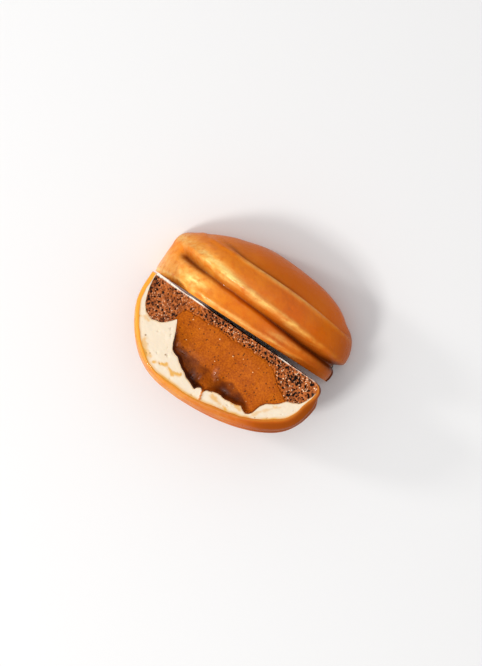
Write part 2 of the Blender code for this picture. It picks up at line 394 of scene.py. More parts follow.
    def crests(self, x: Array, v: Array, groove: Array, crease: Array) -> Array:
        """Low crests beside the cut, the groove and the crease.

        Args:
            x: places along the length.
            v: their distance from the cut plane.
            groove: the groove's distance there.
            crease: the crease's distance there.

        Returns:
            Millimetres.
        """
        total = np.zeros_like(x)
        for line, (offset, reach, height) in (
            (np.zeros_like(x), self.cut_crest),
            (groove, self.groove_crest),
            (crease, self.crease_crest),
        ):
            total += height * hump(line + offset, reach, v)
        return total * smooth_step(-42.0, -34.0, x) * fade(36.0, 43.0, x)

    def crease_mask(self, x: Array, v: Array) -> Array:
        """Where the shallow crease is, from 0 to 1, deepest beside the wide lobe."""
        crease = self.crease_v(x)
        step = smooth_step(crease + self.crease_step[0], crease + self.crease_step[1], v)
        recovery = fade(crease + self.crease_recovery[0], crease + self.crease_recovery[1], v)
        in_from, in_to, out_from, out_to = self.crease_fades
        return step * recovery * smooth_step(in_from, in_to, x) * fade(out_from, out_to, x)

    def flattened(self, grid: Array) -> Array:
        """The dome with the side it lies on pressed flat.

        Args:
            grid: the dome's points.

        Returns:
            The points, with those below the flat spot moved up to it.
        """
        tilt = math.radians(self.tilt_deg)
        depth = grid[..., 1] * math.cos(tilt) + grid[..., 2] * math.sin(tilt)
        excess = np.maximum(depth - (depth.max() - self.side_flattening), 0.0)
        pressed = grid.copy()
        pressed[..., 1] -= excess / math.cos(tilt)
        return pressed


def section(half_width: float, height: float, angles: Array, power: float) -> tuple[Array, Array]:
    """A quarter of a superellipse.

    Args:
        half_width: its reach from the cut plane.
        height: its height above the base.
        angles: from 0 at the top to a right angle at the base.
        power: 2 for an ellipse, more for a boxier section.

    Returns:
        The v and the w of each angle.
    """
    v = half_width * np.sin(angles) ** (2.0 / power)
    w = height * capped(np.cos(angles)) ** (2.0 / power)
    return v, np.where(angles > math.pi / 2 - 1e-9, 0.0, w)


def outward(grid: Array, blurs: int) -> Array:
    """Unit normals of a dome's points, a little blurred. At the cut and the base they lie in those planes.

    Args:
        grid: points, as an array of station, row and coordinate.
        blurs: how often neighbours are averaged.

    Returns:
        One normal for each point.
    """
    ring = grid.copy()
    ring[0], ring[-1] = grid[1], grid[-2]
    normals = unit(np.cross(np.gradient(grid, axis=0), np.gradient(ring, axis=1)))
    for _ in range(blurs):
        wider = np.pad(normals, ((1, 1), (1, 1), (0, 0)), mode="edge")
        around = wider[:-2, 1:-1] + wider[2:, 1:-1] + wider[1:-1, :-2] + wider[1:-1, 2:]
        normals = unit(around + 4.0 * normals)
    normals[:, 0, 1] = 0.0
    normals[:, -1, 2] = 0.0
    normals[0] = (-1.0, 0.0, 0.0)
    normals[-1] = (1.0, 0.0, 0.0)
    return unit(normals)


@dataclass(frozen=True)
class Insert:
    """The sponge and caramel together, and how they divide the cut face."""

    outline: tuple = (
        (-42.7, 0.0), (-42.5, 3.0), (-41.9, 6.0), (-41.0, 9.2), (-39.6, 12.8), (-37.1, 15.6),
        (-34.1, 16.7), (-30.8, 16.2), (-27.9, 14.5), (-25.8, 12.3), (-24.8, 10.9), (-24.1, 11.9),
        (-22.8, 14.8), (-21.4, 17.7), (-20.5, 20.2), (-19.2, 22.3), (-17.9, 23.2), (-15.8, 23.9),
        (-13.7, 25.6), (-10.7, 27.2), (-8.5, 28.4), (-6.4, 29.8), (-4.2, 30.6), (-2.3, 31.2),
        (-1.5, 29.8), (-0.3, 29.1), (0.6, 29.5), (1.3, 30.0), (2.0, 29.1), (5.0, 27.5), (8.3, 27.0),
        (12.6, 27.3), (15.9, 26.6), (18.0, 25.7), (20.2, 26.9), (21.5, 27.5), (23.1, 26.2), (23.9, 25.2),
        (24.3, 23.0), (25.1, 20.9), (26.3, 19.4), (28.4, 17.9), (30.5, 16.6), (31.7, 15.3), (33.0, 13.3),
        (35.8, 12.5), (38.1, 11.0), (39.8, 8.2), (40.9, 5.3), (41.4, 2.5), (41.5, 0.0),
    )
    sponge_top: tuple = (
        (-26.2, 12.7), (-25.4, 9.6), (-24.6, 7.0), (-23.0, 5.4), (-17.5, 4.9), (-9.1, 4.6), (-0.6, 4.7),
        (7.8, 4.3), (16.3, 4.4), (20.5, 5.3), (22.7, 7.0), (24.8, 8.6), (27.0, 10.3), (29.1, 11.9),
        (31.7, 13.6), (33.2, 13.4),
    )
    width_share: float = 0.80
    wall_power: float = 14.0
    section_power: float = 2.6
    edge_roughness: float = 0.32
    crumb_roughness: float = 0.45

    TORN = Noise(2.6, 11, octaves=3)
    CRUMBLED = Noise(1.7, 23, octaves=3)
    EDGE_POINTS = 420
    CHUNK = 20

    def first_x(self) -> float:
        """The end of the insert at the blunt end."""
        return self.outline[0][0]

    def last_x(self) -> float:
        """The end of the insert at the nose."""
        return self.outline[-1][0]

    def top(self, x: Array) -> Array:
        """The height at x of the insert's torn edge on the cut face, where the cream begins."""
        height = along(self.outline, x)
        torn = self.TORN.at(x, height) * self.edge_roughness
        return height + torn * smooth_step(0.0, 6.0, height)

    def divide(self, x: Array) -> Array:
        """The height at x of the sponge's top on the cut face, never above the insert's own top."""
        inside = (x > self.sponge_top[0][0]) & (x < self.sponge_top[-1][0])
        height = along(self.sponge_top, x) + self.CRUMBLED.at(x, 0.0 * x) * self.crumb_roughness
        return np.where(inside, np.minimum(height, self.top(x)), self.top(x))

    def half_width(self, x: Array, dome: Dome) -> Array:
        """How far the insert reaches from the cut plane.

        Args:
            x: where to read it.
            dome: the outside that it keeps to a share of.

        Returns:
            Millimetres.
        """
        middle = (self.first_x() + self.last_x()) / 2
        reach = (self.last_x() - self.first_x()) / 2
        wall = capped(1.0 - np.abs((x - middle) / reach) ** self.wall_power)
        wall **= 1 / dome.section_power
        outline = dome.profile(dome.DENSE)
        return self.width_share * wall * np.interp(x, outline[:, 0], outline[:, 1])

    def distance_to_edge(self, x: Array, w: Array) -> Array:
        """How far places on the cut face are from the cream.

        Args:
            x: a grid of places along the length.
            w: their heights above the base.

        Returns:
            Millimetres.
        """
        edge_x = np.linspace(self.sponge_top[0][0], self.sponge_top[-1][0], self.EDGE_POINTS)
        edge_w = self.top(edge_x)
        nearest = np.full(x.shape, np.inf)
        for start in range(0, self.EDGE_POINTS, self.CHUNK):
            part = slice(start, start + self.CHUNK)
            gap = (x[..., None] - edge_x[part]) ** 2 + (w[..., None] - edge_w[part]) ** 2
            nearest = np.minimum(nearest, gap.min(axis=-1))
        return np.sqrt(nearest)


@dataclass(frozen=True)
class Placement:
    """Carries a half's points to where the frame's solids are.

    Attributes:
        half: which half.
        cast: the outside as the solids have it, for finding their place.
        yaw_deg: how far the tipped half is turned about the upright.
        nose_tuck: how much the nose's bottom edge is rounded in.
        tuck_from: where along the length that starts, and where it is full.
    """

    half: Half
    cast: Dome
    yaw_deg: float = -1.3
    nose_tuck: float = 3.6
    tuck_from: tuple[float, float] = (31.0, 41.5)

    CAD_STATIONS = 34
    CAD_ROWS = (5, 6, 8)
    CAD_BLURS = 2

    def turned(self, points: Array) -> Array:
        """Points of the half, turned the way it lies but not yet moved."""
        if self.half is Half.STANDING:
            return points
        lay_down = Matrix.Rotation(math.radians(90.0 + self.cast.tilt_deg), 3, "X")
        turn = np.array(Matrix.Rotation(math.radians(self.yaw_deg), 3, "Z") @ lay_down)
        return (points * (1.0, -1.0, 1.0)) @ turn.T

    def offset(self) -> Array:
        """The move, in millimetres, that puts the turned half where its solid is."""
        smooth = self.cast.smooth(self.CAD_STATIONS, self.CAD_ROWS)
        solid = smooth + outward(smooth, self.CAD_BLURS) * self.cast.relief(smooth)[..., None]
        if self.half is Half.TIPPED:
            solid = self.cast.flattened(solid)
        mine = self.turned(solid).reshape(-1, 3)
        low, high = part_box(f"{self.half.value}_glaze")
        theirs = (np.array(low) + np.array(high)) / 2 / MM
        return theirs - (mine.min(axis=0) + mine.max(axis=0)) / 2

    def tucked(self, points: Array) -> Array:
        """Points of the half, with the tipped half's bottom edge rounded in at the nose."""
        if self.half is Half.STANDING:
            return points
        below = capped(1.0 - points[..., 2] / self.nose_tuck)
        pulled = points.copy()
        share = smooth_step(*self.tuck_from, points[..., 0])
        pulled[..., 0] -= self.nose_tuck * (1.0 - np.sqrt(1.0 - below**2)) * share
        return pulled

    def world(self, points: Array) -> Array:
        """Points of the half, in the frame's metres."""
        return (self.turned(self.tucked(points)) + self.offset()) * MM


@dataclass
class Rings:
    """A closed surface made of rings of points.

    Attributes:
        points: an array of station, place round the ring and coordinate. The last place joins the first.
        masks: named numbers for each point, which the materials read.
    """

    points: Array
    masks: dict[str, Array] = field(default_factory=dict)

    WELD = 2e-6

    def object(self, name: str, placement: Placement, sharp_deg: float) -> bpy.types.Object:
        """Makes the mesh object.

        Args:
            name: the object's name.
            placement: where its half is.
            sharp_deg: edges that turn by more than this are shaded sharp.

        Returns:
            The new object, linked to the scene.
        """
        stations, around = self.points.shape[:2]
        index = np.arange(stations * around).reshape(stations, around)
        following = np.roll(index, -1, axis=1)
        corners = np.stack([index[:-1], index[1:], following[1:], following[:-1]], axis=-1).reshape(-1, 4)
        if placement.half is Half.TIPPED:
            corners = corners[:, ::-1]
        mesh = bpy.data.meshes.new(name)
        mesh.from_pydata(placement.world(self.points).reshape(-1, 3).tolist(), [], corners.tolist())
        for mask_name, values in self.masks.items():
            attribute = mesh.attributes.new(mask_name, "FLOAT", "POINT")
            attribute.data.foreach_set("value", values.astype(np.float32).ravel())
        self.weld(mesh)
        mesh.shade_smooth()
        mesh.set_sharp_from_angle(angle=math.radians(sharp_deg))
        made = bpy.data.objects.new(name, mesh)
        bpy.context.scene.collection.objects.link(made)
        return made

    def weld(self, mesh: bpy.types.Mesh) -> None:
        """Joins the points that meet at the poles and turns the faces outward."""
        work = bmesh.new()
        work.from_mesh(mesh)
        bmesh.ops.remove_doubles(work, verts=work.verts, dist=self.WELD)
        bmesh.ops.dissolve_degenerate(work, edges=work.edges, dist=self.WELD)
        if work.calc_volume(signed=True) < 0.0:
            bmesh.ops.reverse_faces(work, faces=work.faces)
        work.to_mesh(mesh)
        work.free()


@dataclass
class HalfShape:
    """The fine surfaces that the layers of one half share.

    Attributes:
        half: which half.
        dome: the outside.
        insert: the sponge and caramel.
        stations: how many stations the outside has.
        band_rows: how many rows the ridge, the wide lobe and the outer lobe have.
    """

    half: Half
    dome: Dome
    insert: Insert
    stations: int = 320
    band_rows: tuple[int, int, int] = (32, 44, 58)

    SWELL_SIZE = 13.0
    SWELL_SEEDS = {Half.STANDING: 3, Half.TIPPED: 8}
    THICKNESS = Noise(5.0, 113, octaves=2)
    GLAZE = 0.95
    UNEVEN = 0.26
    THICKER_BLUNT_END = 0.45
    BLURS = 8
    SWELLS = 0.20
    FOOT = 0.9
    WORN = 2.6
    WORN_CUT = 1.9
    INNER_STEP = 6

    def __post_init__(self) -> None:
        """Works out the glaze's outer and inner surfaces."""
        smooth = self.dome.smooth(self.stations, self.band_rows)
        noise = Noise(self.SWELL_SIZE, self.SWELL_SEEDS[self.half], octaves=2)
        swells = noise.at(*np.moveaxis(smooth, -1, 0))
        swells *= smooth_step(0.0, 3.0, smooth[..., 1]) * smooth_step(0.0, 3.0, smooth[..., 2])
        relief = self.dome.relief(smooth)
        outer = smooth + outward(smooth, self.BLURS) * (relief + self.SWELLS * swells)[..., None]
        if self.half is Half.TIPPED:
            outer = self.dome.flattened(outer)
            outer[..., 0] -= self.worn_nose(outer)
        else:
            outer[..., 0] += self.foot(outer)
        self.smooth_dome = smooth
        self.outer = outer
        rows = np.unique(np.append(np.arange(0, outer.shape[1], self.INNER_STEP), outer.shape[1] - 1))
        coarse = outer[:, rows]
        thickness = self.GLAZE + self.UNEVEN * self.THICKNESS.at(*np.moveaxis(coarse, -1, 0))
        thickness += self.THICKER_BLUNT_END * fade(-40.0, -33.0, coarse[..., 0])
        self.inner = coarse - outward(coarse, self.BLURS) * thickness[..., None]

    def foot(self, points: Array) -> Array:
        """How far the glaze has run out at the foot of the nose, in millimetres along the length."""
        x, v, w = np.moveaxis(points, -1, 0)
        run = smooth_step(37.0, 42.0, x) * fade(4.0, 9.0, v)
        return self.FOOT * run * fade(0.2, 2.4, w)

    def worn_nose(self, points: Array) -> Array:
        """How far the tipped half's nose is drawn in beside its base, negative at the cut edge."""
        x, v, w = np.moveaxis(points, -1, 0)
        beyond_the_cut = self.WORN * smooth_step(1.0, 8.0, v) * fade(2.0, 10.0, w)
        at_the_cut = self.WORN_CUT * fade(0.0, 3.4, v) * fade(4.0, 12.0, w)
        return smooth_step(35.0, 43.0, x) * (beyond_the_cut - at_the_cut)


def between(start: Array, end: Array, count: int) -> Array:
    """A count of evenly spaced points between two rows of points, without the rows themselves."""
    share = (np.arange(1, count + 1) / (count + 1))[None, :, None]
    return start[:, None] * (1.0 - share) + end[:, None] * share


@dataclass
class LayerShape:
    """One layer of one half."""

    shape: HalfShape
    placement: Placement

    NAME = ""
    SHARP_DEG = 60.0

    def rings(self) -> Rings:
        """The layer's surface, which each kind of layer makes in its own way."""
        raise NotImplementedError

    def build(self) -> bpy.types.Object:
        """Makes the layer's object."""
        name = f"{self.shape.half.value}_{self.NAME}"
        return self.rings().object(name, self.placement, self.SHARP_DEG)


class GlazeCoat(LayerShape):
    """The glossy coat round one half, with its cut edge."""

    NAME = "glaze_coat"
    WAVER = Noise(4.0, 131, octaves=2)
    PATCHES = Noise(9.0, 101, octaves=2)
    RIM_POINTS = 5
    RIM_BULGE = 0.18
    RIM_SHARE = 0.8
    # Along the length: how strong and wide the groove's painted shade is, and where the painted highlight
    # beyond it lies.
    GROOVE_DARKNESS = (
        (-40.5, 0.0), (-38.6, 0.85), (-30.0, 0.80), (-24.0, 0.60), (-12.0, 0.50), (10.0, 0.70), (22.0, 0.90),
        (45.0, 0.90),
    )
    GROOVE_DARK_WIDTH = ((-39.0, 2.1), (-33.0, 2.0), (-12.0, 1.3), (5.0, 1.3), (18.0, 2.1), (45.0, 2.2))
    CREST_OFFSET = ((-38.0, 4.4), (-20.0, 3.6), (0.0, 2.7), (40.0, 2.5))
    CREST_REACH = ((-40.0, 2.6), (-22.0, 2.2), (-5.0, 1.4), (40.0, 1.2))

    def rings(self) -> Rings:
        """The coat's rings: outside from cut to base, and inside back to the cut."""
        outer, inner = self.shape.outer, self.shape.inner
        rim = between(inner[:, 0], outer[:, 0], self.RIM_POINTS)
        bulge = np.sin(np.linspace(0.0, math.pi, self.RIM_POINTS + 2)[1:-1])
        rim[:, :, 1] -= self.RIM_BULGE * bulge * self.rim_strength(rim[:, :, 0])
        points = np.concatenate([outer, inner[:, ::-1], rim], axis=1)
        outside = slice(0, outer.shape[1])
        masks = {
            name: mask_on(points, outside, values)
            for name, values in (
                ("pressed", self.pressed()),
                ("highlight_and_thin", self.highlight_and_thin()),
                ("side", self.side()),
                ("dull", self.dull()),
            )
        }
        masks["cut"] = mask_on(points, slice(outer.shape[1] + inner.shape[1], None), 1.0)
        masks["cut"] += mask_on(points, 0, self.RIM_SHARE)
        return Rings(points, masks)

    def rim_strength(self, x: Array) -> Array:
        """How much of the rim's bulge there is: none at the poles, where the rim closes."""
        return smooth_step(-44.0, -40.0, x) * fade(39.0, 43.0, x)

    def pressed(self) -> Array:
        """Painted shade, 0 to 1, in the groove and crease, at the foot and on the nose, away from the lamps.
        """
        dome, smooth = self.shape.dome, self.shape.smooth_dome
        x, v, w = np.moveaxis(smooth, -1, 0)
        # Painted shade deep in the groove and on its side next to the cut, in the crease, and at the nose's
        # foot.
        depth = along(self.GROOVE_DARKNESS, x) * (1.0 if self.shape.half is Half.STANDING else 0.15)
        groove = depth * hump(dome.groove_v(x) - 0.5, along(self.GROOVE_DARK_WIDTH, x), v)
        crease_line = hump(dome.crease_v(x) + 0.9, 0.9, v) * smooth_step(-30.0, -20.0, x)
        crease = crease_line * (1.0 - 0.8 * smooth_step(2.0, 26.0, x))
        foot = smooth_step(38.0, 42.5, x) * fade(1.0, 4.0, w)
        foot *= fade(6.0, 11.0, v)
        # Painted shade on surfaces that face the nose, away from the lamps.
        nose = 0.34 * smooth_step(0.45, 0.95, outward(smooth, 1)[..., 0])
        # On the tipped half, painted shade on the band beyond the cut edge, growing towards the nose.
        if self.shape.half is Half.TIPPED:
            nose = (0.12 + 0.50 * smooth_step(18.0, 35.0, x)) * smooth_step(0.0, 1.6, v)
        return capped(groove + 0.55 * crease + 0.75 * foot + nose)

    def highlight_and_thin(self) -> Array:
        """Painted highlight on crests, the cut edge and the blunt end, partly thinner glaze, from 0 to 1."""
        dome, smooth = self.shape.dome, self.shape.smooth_dome
        x, v = smooth[..., 0], smooth[..., 1]
        reach = along(self.CREST_REACH, x)
        beyond_groove = hump(dome.groove_v(x) + along(self.CREST_OFFSET, x), reach, v)
        before_crease = 0.75 * hump(dome.crease_v(x) - 1.0, 0.8, v) * smooth_step(-25.0, -5.0, x)
        waver = 0.6 * self.WAVER.at(x, v)
        by_the_cut = 0.75 * hump(1.7, 0.8, v + waver)
        blunt_side = 0.28 * fade(-36.0, -10.0, x) * fade(12.0, 22.0, v)
        patches = 1.0 + 0.45 * self.PATCHES.at(*np.moveaxis(smooth, -1, 0))
        # On the tipped half, painted highlight on the band beyond the cut edge, towards the blunt end.
        if self.shape.half is Half.TIPPED:
            band = 0.24 * fade(5.0, 14.0, v) * fade(10.0, 34.0, x)
            return capped(np.maximum(band, 0.35 * beyond_groove) * patches)
        # Painted highlight streaks on the ridge near the blunt end, and along the ridge towards the nose.
        shining = 0.85 * hump(-30.0, 7.0, x) * hump(5.5, 3.0, v)
        nose_strip = 0.60 * hump(5.4, 1.6, v) * smooth_step(6.0, 18.0, x)
        crests = [beyond_groove, before_crease, by_the_cut, blunt_side, shining, nose_strip]
        return capped(np.maximum.reduce(crests) * patches)

    def side(self) -> Array:
        """Where the outside turns to the far side, the blunt end and the nose, from 0 on top to 1."""
        dome, smooth = self.shape.dome, self.shape.smooth_dome
        x, v, w = np.moveaxis(smooth, -1, 0)
        # Painted shade on the far side and on the nose, which face away from the lamps; at the blunt end,
        # the glaze's own redder tone.
        outer_lobe = 0.45 * smooth_step(dome.crease_v(x) - 0.5, dome.crease_v(x) + 2.0, v)
        facing = outward(smooth, 1)
        steep = smooth_step(0.45, 0.95, facing[..., 1])
        at_blunt_end = 0.6 * smooth_step(0.35, 0.8, -facing[..., 0]) * smooth_step(4.0, 14.0, v)
        at_nose = 0.9 * smooth_step(0.20, 0.60, facing[..., 0])
        return capped(np.maximum.reduce([outer_lobe, steep, at_blunt_end, at_nose]))

    def dull(self) -> Array:
        """How dull the surface is, from 0 to 1: all of the tipped half is, beyond its cut edge."""
        if self.shape.half is Half.STANDING:
            return self.side()
        return np.maximum(self.side(), 0.45 * smooth_step(0.0, 1.0, self.shape.smooth_dome[..., 1]))


class CreamBody(LayerShape):
    """The ivory mousse of one half."""

    NAME = "cream_body"
    SWELLS = Noise(7.0, 31, octaves=3)
    FINE = Noise(1.1, 37, octaves=2)
    BUBBLES = Pores(0.05, (0.20, 0.55), 41, 2.5)
    EDGE_PATCHES = Noise(5.0, 47, octaves=2)
    FRAYING = Noise(1.5, 53, octaves=3)
    FACE_POINTS = 56
    INNER_ROWS = 10
    RECESS = 0.10
    OVERLAP = 0.05
    DRIP = ((0.9, 28.9), (1.4, 31.0), (2.1, 33.4), (2.9, 35.9))
    STROKES = (
        (
            ((-23.0, 31.4), (-17.5, 29.1), (-15.5, 29.9), (-13.6, 31.4), (-12.4, 30.0), (-10.2, 29.4)),
            0.45, 0.95,
        ),
        (((5.5, 28.9), (8.6, 29.9), (13.3, 30.5)), 0.55, 0.75),
        (((-31.5, 25.5), (-29.0, 28.4), (-25.0, 30.4)), 0.60, 0.60),
        (((14.5, 27.4), (17.0, 26.9), (18.5, 27.8)), 0.40, 0.70),
        (((24.5, 25.8), (28.0, 21.0), (32.5, 16.6)), 0.35, 0.45),
        (((-39.0, 18.6), (-36.5, 17.6), (-34.5, 18.0)), 0.40, 0.55),
    )

    def rings(self) -> Rings:
        """The body's rings: outside from cut to base, round the insert, and back over the cut face."""
        shape, insert = self.shape, self.shape.insert
        outside = shape.inner + outward(shape.inner, 0) * self.OVERLAP
        along_length = outside[:, 0, 0]
        share = (along_length - along_length[0]) / (along_length[-1] - along_length[0])
        x = insert.first_x() + (insert.last_x() - insert.first_x()) * share
        angles = np.linspace(0.0, math.pi / 2, self.INNER_ROWS)
        widths = insert.half_width(x, shape.dome)
        tops = insert.top(x)
        inside = []
        for station, half_width, height in zip(x, widths, tops):
            v, w = section(half_width, height, angles, insert.section_power)
            inside.append(np.stack([np.full_like(v, station), v, w], axis=1))
        inside = np.array(inside)
        face = between(inside[:, 0], outside[:, 0], self.FACE_POINTS)
        from_insert = np.linalg.norm(face - inside[:, :1], axis=2)
        from_glaze = np.linalg.norm(face - outside[:, :1], axis=2)
        face[:, :, 1] += self.face_depth(face, from_insert, from_glaze)
        points = np.concatenate([outside, inside[:, ::-1], face], axis=1)
        on_face = slice(outside.shape[1] + self.INNER_ROWS, None)
        stain = mask_on(points, on_face, self.stain(face, from_insert, from_glaze)) + mask_on(points, 0, 1.0)
        return Rings(points, {"stain": stain, "drip": mask_on(points, on_face, self.drip(face))})

    def drip(self, face: Array) -> Array:
        """Where a narrow drip of caramel runs over the cream, from 0 to 1."""
        return fade(0.30, 0.62, gap_to(self.DRIP, face[:, :, 0], face[:, :, 2]))

    def face_depth(self, face: Array, from_insert: Array, from_glaze: Array) -> Array:
        """How far the cut face lies inside the cut plane.

        Args:
            face: the face's points.
            from_insert: their distance from the insert.
            from_glaze: their distance from the glaze.

        Returns:
            Millimetres, negative where the cream stands proud.
        """
        x, w = face[:, :, 0], face[:, :, 2]
        depth = self.RECESS + 0.10 * self.SWELLS.at(x, w)
        depth += 0.03 * self.FINE.at(x, w)
        depth += 0.9 * self.BUBBLES.depth(x, w)
        depth += 0.25 * hump(0.0, 0.3, from_insert) - 0.40 * self.drip(face)
        return depth * smooth_step(0.0, 0.8, from_glaze) * smooth_step(0.0, 2.0, w)

    def stain(self, face: Array, from_insert: Array, from_glaze: Array) -> Array:
        """Where glaze and caramel have stained the cream, from 0 to 1.

        Args:
            face: the face's points.
            from_insert: their distance from the insert.
            from_glaze: their distance from the glaze.

        Returns:
            One number for each point.
        """
        x, w = face[:, :, 0], face[:, :, 2]
        edge = hump(0.0, 0.9, from_glaze) * (0.75 + 0.5 * self.EDGE_PATCHES.at(x, w))
        smears = np.zeros_like(x)
        for corners, half_width, strength in self.STROKES:
            gap = gap_to(corners, x, w)
            frayed = gap + 0.75 * self.FRAYING.at(x, w)
            smears += strength * hump(0.0, 1.5 * half_width, np.maximum(frayed, 0.0)) * hump(0.0, 2.2, gap)
        torn = 0.5 * hump(0.0, 0.35, from_insert)
        return capped(edge + smears + torn)


class SpongeBase(LayerShape):
    """The porous sponge of one half."""

    NAME = "sponge_base"
    SHARP_DEG = 80.0
    HOLES = Pores(2.0, (0.14, 0.50), 61, 1.6)
    BIG_HOLES = Pores(0.20, (0.34, 0.70), 67, 1.6)
    CRUMBS = Noise(0.75, 71, octaves=2)
    FINE_CRUMBS = Noise(0.42, 72)
    SWELLS = Noise(4.5, 73, octaves=2)
    SMEARING = Noise(2.0, 79, octaves=2)
    FILM_SWELLS = Noise(3.0, 109, octaves=2)
    SOAKING = Noise(0.9, 127, octaves=2)
    STEP = 0.2
    END_GAP = 0.01
    THINNEST = 0.02
    FACE_POINTS = 66
    SIDE_ROWS = 9
    TOP_ROWS = 5
    BASE_ROWS = 6
    FILM_HEIGHT = (
        (-42.0, 0.65), (-32.0, 0.50), (-20.0, 0.28), (-14.0, 0.0), (8.0, 0.0), (16.0, 0.20), (38.0, 0.25),
    )

    def rings(self) -> Rings:
        """The base's rings: up the cut face, over the top and down the side, and back along the base."""
        insert = self.shape.insert
        first, last = insert.first_x() + self.END_GAP, insert.last_x() - self.END_GAP
        x = np.linspace(first, last, int((last - first) / self.STEP))
        tops = insert.top(x)
        heights = np.minimum(insert.divide(x), tops)
        widths = insert.half_width(x, self.shape.dome)
        rings = []
        for station, top, height, half_width in zip(x, tops, heights, widths):
            top, height = max(top, self.THINNEST), max(height, self.THINNEST)
            rings.append(self.ring(station, top, height, half_width))
        points = np.array(rings)
        face = points[:, : self.FACE_POINTS]
        depth, pore_shade = self.crumb(face[:, :, 0], face[:, :, 2], heights)
        face[:, :, 1] += depth
        on_face = slice(0, self.FACE_POINTS)
        off_face = slice(self.FACE_POINTS, None)
        masks = {
            "pore_shade": mask_on(points, on_face, pore_shade) + mask_on(points, off_face, 0.5),
            "soaked": mask_on(points, on_face, self.soaked(face[:, :, 0], face[:, :, 2], heights)),
            "pale": mask_on(points, on_face, 0.0),
        }
        if self.shape.half is Half.TIPPED:
            masks["pale"] = self.lay_film(points)
        return Rings(points, masks)

    def lay_film(self, points: Array) -> Array:
        """Spreads a pale film of cream along the tipped half's base, beside the cut.

        Args:
            points: the rings, whose lowest points it moves.

        Returns:
            Where the film shows, from 0 to 1.
        """
        x, v, w = np.moveaxis(points, -1, 0)
        film = along(self.FILM_HEIGHT, x) * (1.0 + 0.4 * self.FILM_SWELLS.at(x))
        by_the_cut = fade(0.4, 2.0, v)
        points[..., 2] -= film * fade(0.0, 0.5, w) * by_the_cut
        return smooth_step(0.1, 0.4, film) * fade(0.05, 0.35, points[..., 2]) * by_the_cut

    def ring(self, x: float, top: float, height: float, half_width: float) -> Array:
        """One station's ring.

        Args:
            x: the station.
            top: the insert's height on the cut face there.
            height: the sponge's height there.
            half_width: how far the insert reaches from the cut.

        Returns:
            Rows of coordinates.
        """
        power = self.shape.insert.section_power
        shoulder = math.acos(min((height / top) ** (power / 2), 1.0))
        angles = np.linspace(shoulder, math.pi / 2, self.SIDE_ROWS)
        side_v, side_w = section(half_width, top, angles, power)
        face_w = np.linspace(0.0, height, self.FACE_POINTS)
        top_v = np.linspace(0.0, side_v[0], self.TOP_ROWS + 2)[1:-1]
        base_v = np.linspace(half_width, 0.0, self.BASE_ROWS + 2)[1:-1]
        v = np.concatenate([np.zeros(self.FACE_POINTS), top_v, side_v, base_v])
        w = np.concatenate([face_w, np.full(self.TOP_ROWS, height), side_w, np.zeros(self.BASE_ROWS)])
        return np.stack([np.full_like(v, x), v, w], axis=1)

    def crumb(self, x: Array, w: Array, heights: Array) -> tuple[Array, Array]:
        """The torn, porous surface of the cut.

        Args:
            x: a grid of places along the length.
            w: their heights above the base.
            heights: the sponge's height at each station.

        Returns:
            The depth inside the cut plane in millimetres, and how far into the pores each place lies, from 0
            to 1, for painted shade.
        """
        holes = self.HOLES.depth(x, w)
        big = self.BIG_HOLES.depth(x, w) * smooth_step(8.0, 20.0, x)
        crumbs = self.CRUMBS.at(x, w) + 0.6 * self.FINE_CRUMBS.at(x, w)
        swells = self.SWELLS.at(x, w)
        smeared = self.smeared(x, w)
        depth = 0.30 + 0.22 * swells + 0.30 * crumbs + (1.0 - 0.85 * smeared) * (1.5 * holes + 1.1 * big)
        open_edge = smooth_step(0.0, 0.5, w) * smooth_step(-42.6, -42.0, x)
        open_edge *= fade(39.9, 40.5, x)
        pore_shade = capped(0.34 + 0.34 * crumbs + (1.0 - smeared) * (1.35 * holes + 0.9 * big))
        at_top = smooth_step(0.0, 0.5, heights[:, None] - w)
        return depth * open_edge * (0.35 + 0.65 * at_top) + 0.25 * (1.0 - at_top), pore_shade

    def soaked(self, x: Array, w: Array, heights: Array) -> Array:
        """Where caramel has soaked into the crumb beside it, from 0 to 1.

        Args:
            x: a grid of places along the length.
            w: their heights above the base.
            heights: the sponge's height at each station.

        Returns:
            One number for each place.
        """
        first, last = self.shape.insert.sponge_top[0][0], self.shape.insert.sponge_top[-1][0]
        beside = smooth_step(first - 1.5, first + 1.5, x) * fade(last - 1.5, last, x)
        near = hump(0.0, 1.1, heights[:, None] - w) * beside
        share = np.maximum(near, 0.7 * self.smeared(x, w))
        return capped(share * (1.0 + 1.1 * self.SOAKING.at(x, w)))

    def smeared(self, x: Array, w: Array) -> Array:
        """Where caramel is smeared over the crumb, from 0 to 1."""
        patch = hump(-21.0, 4.2, x) + 0.6 * hump(-33.0, 5.0, x) * hump(2.5, 3.0, w)
        return capped(patch * (1.0 + 0.8 * self.SMEARING.at(x, w)))


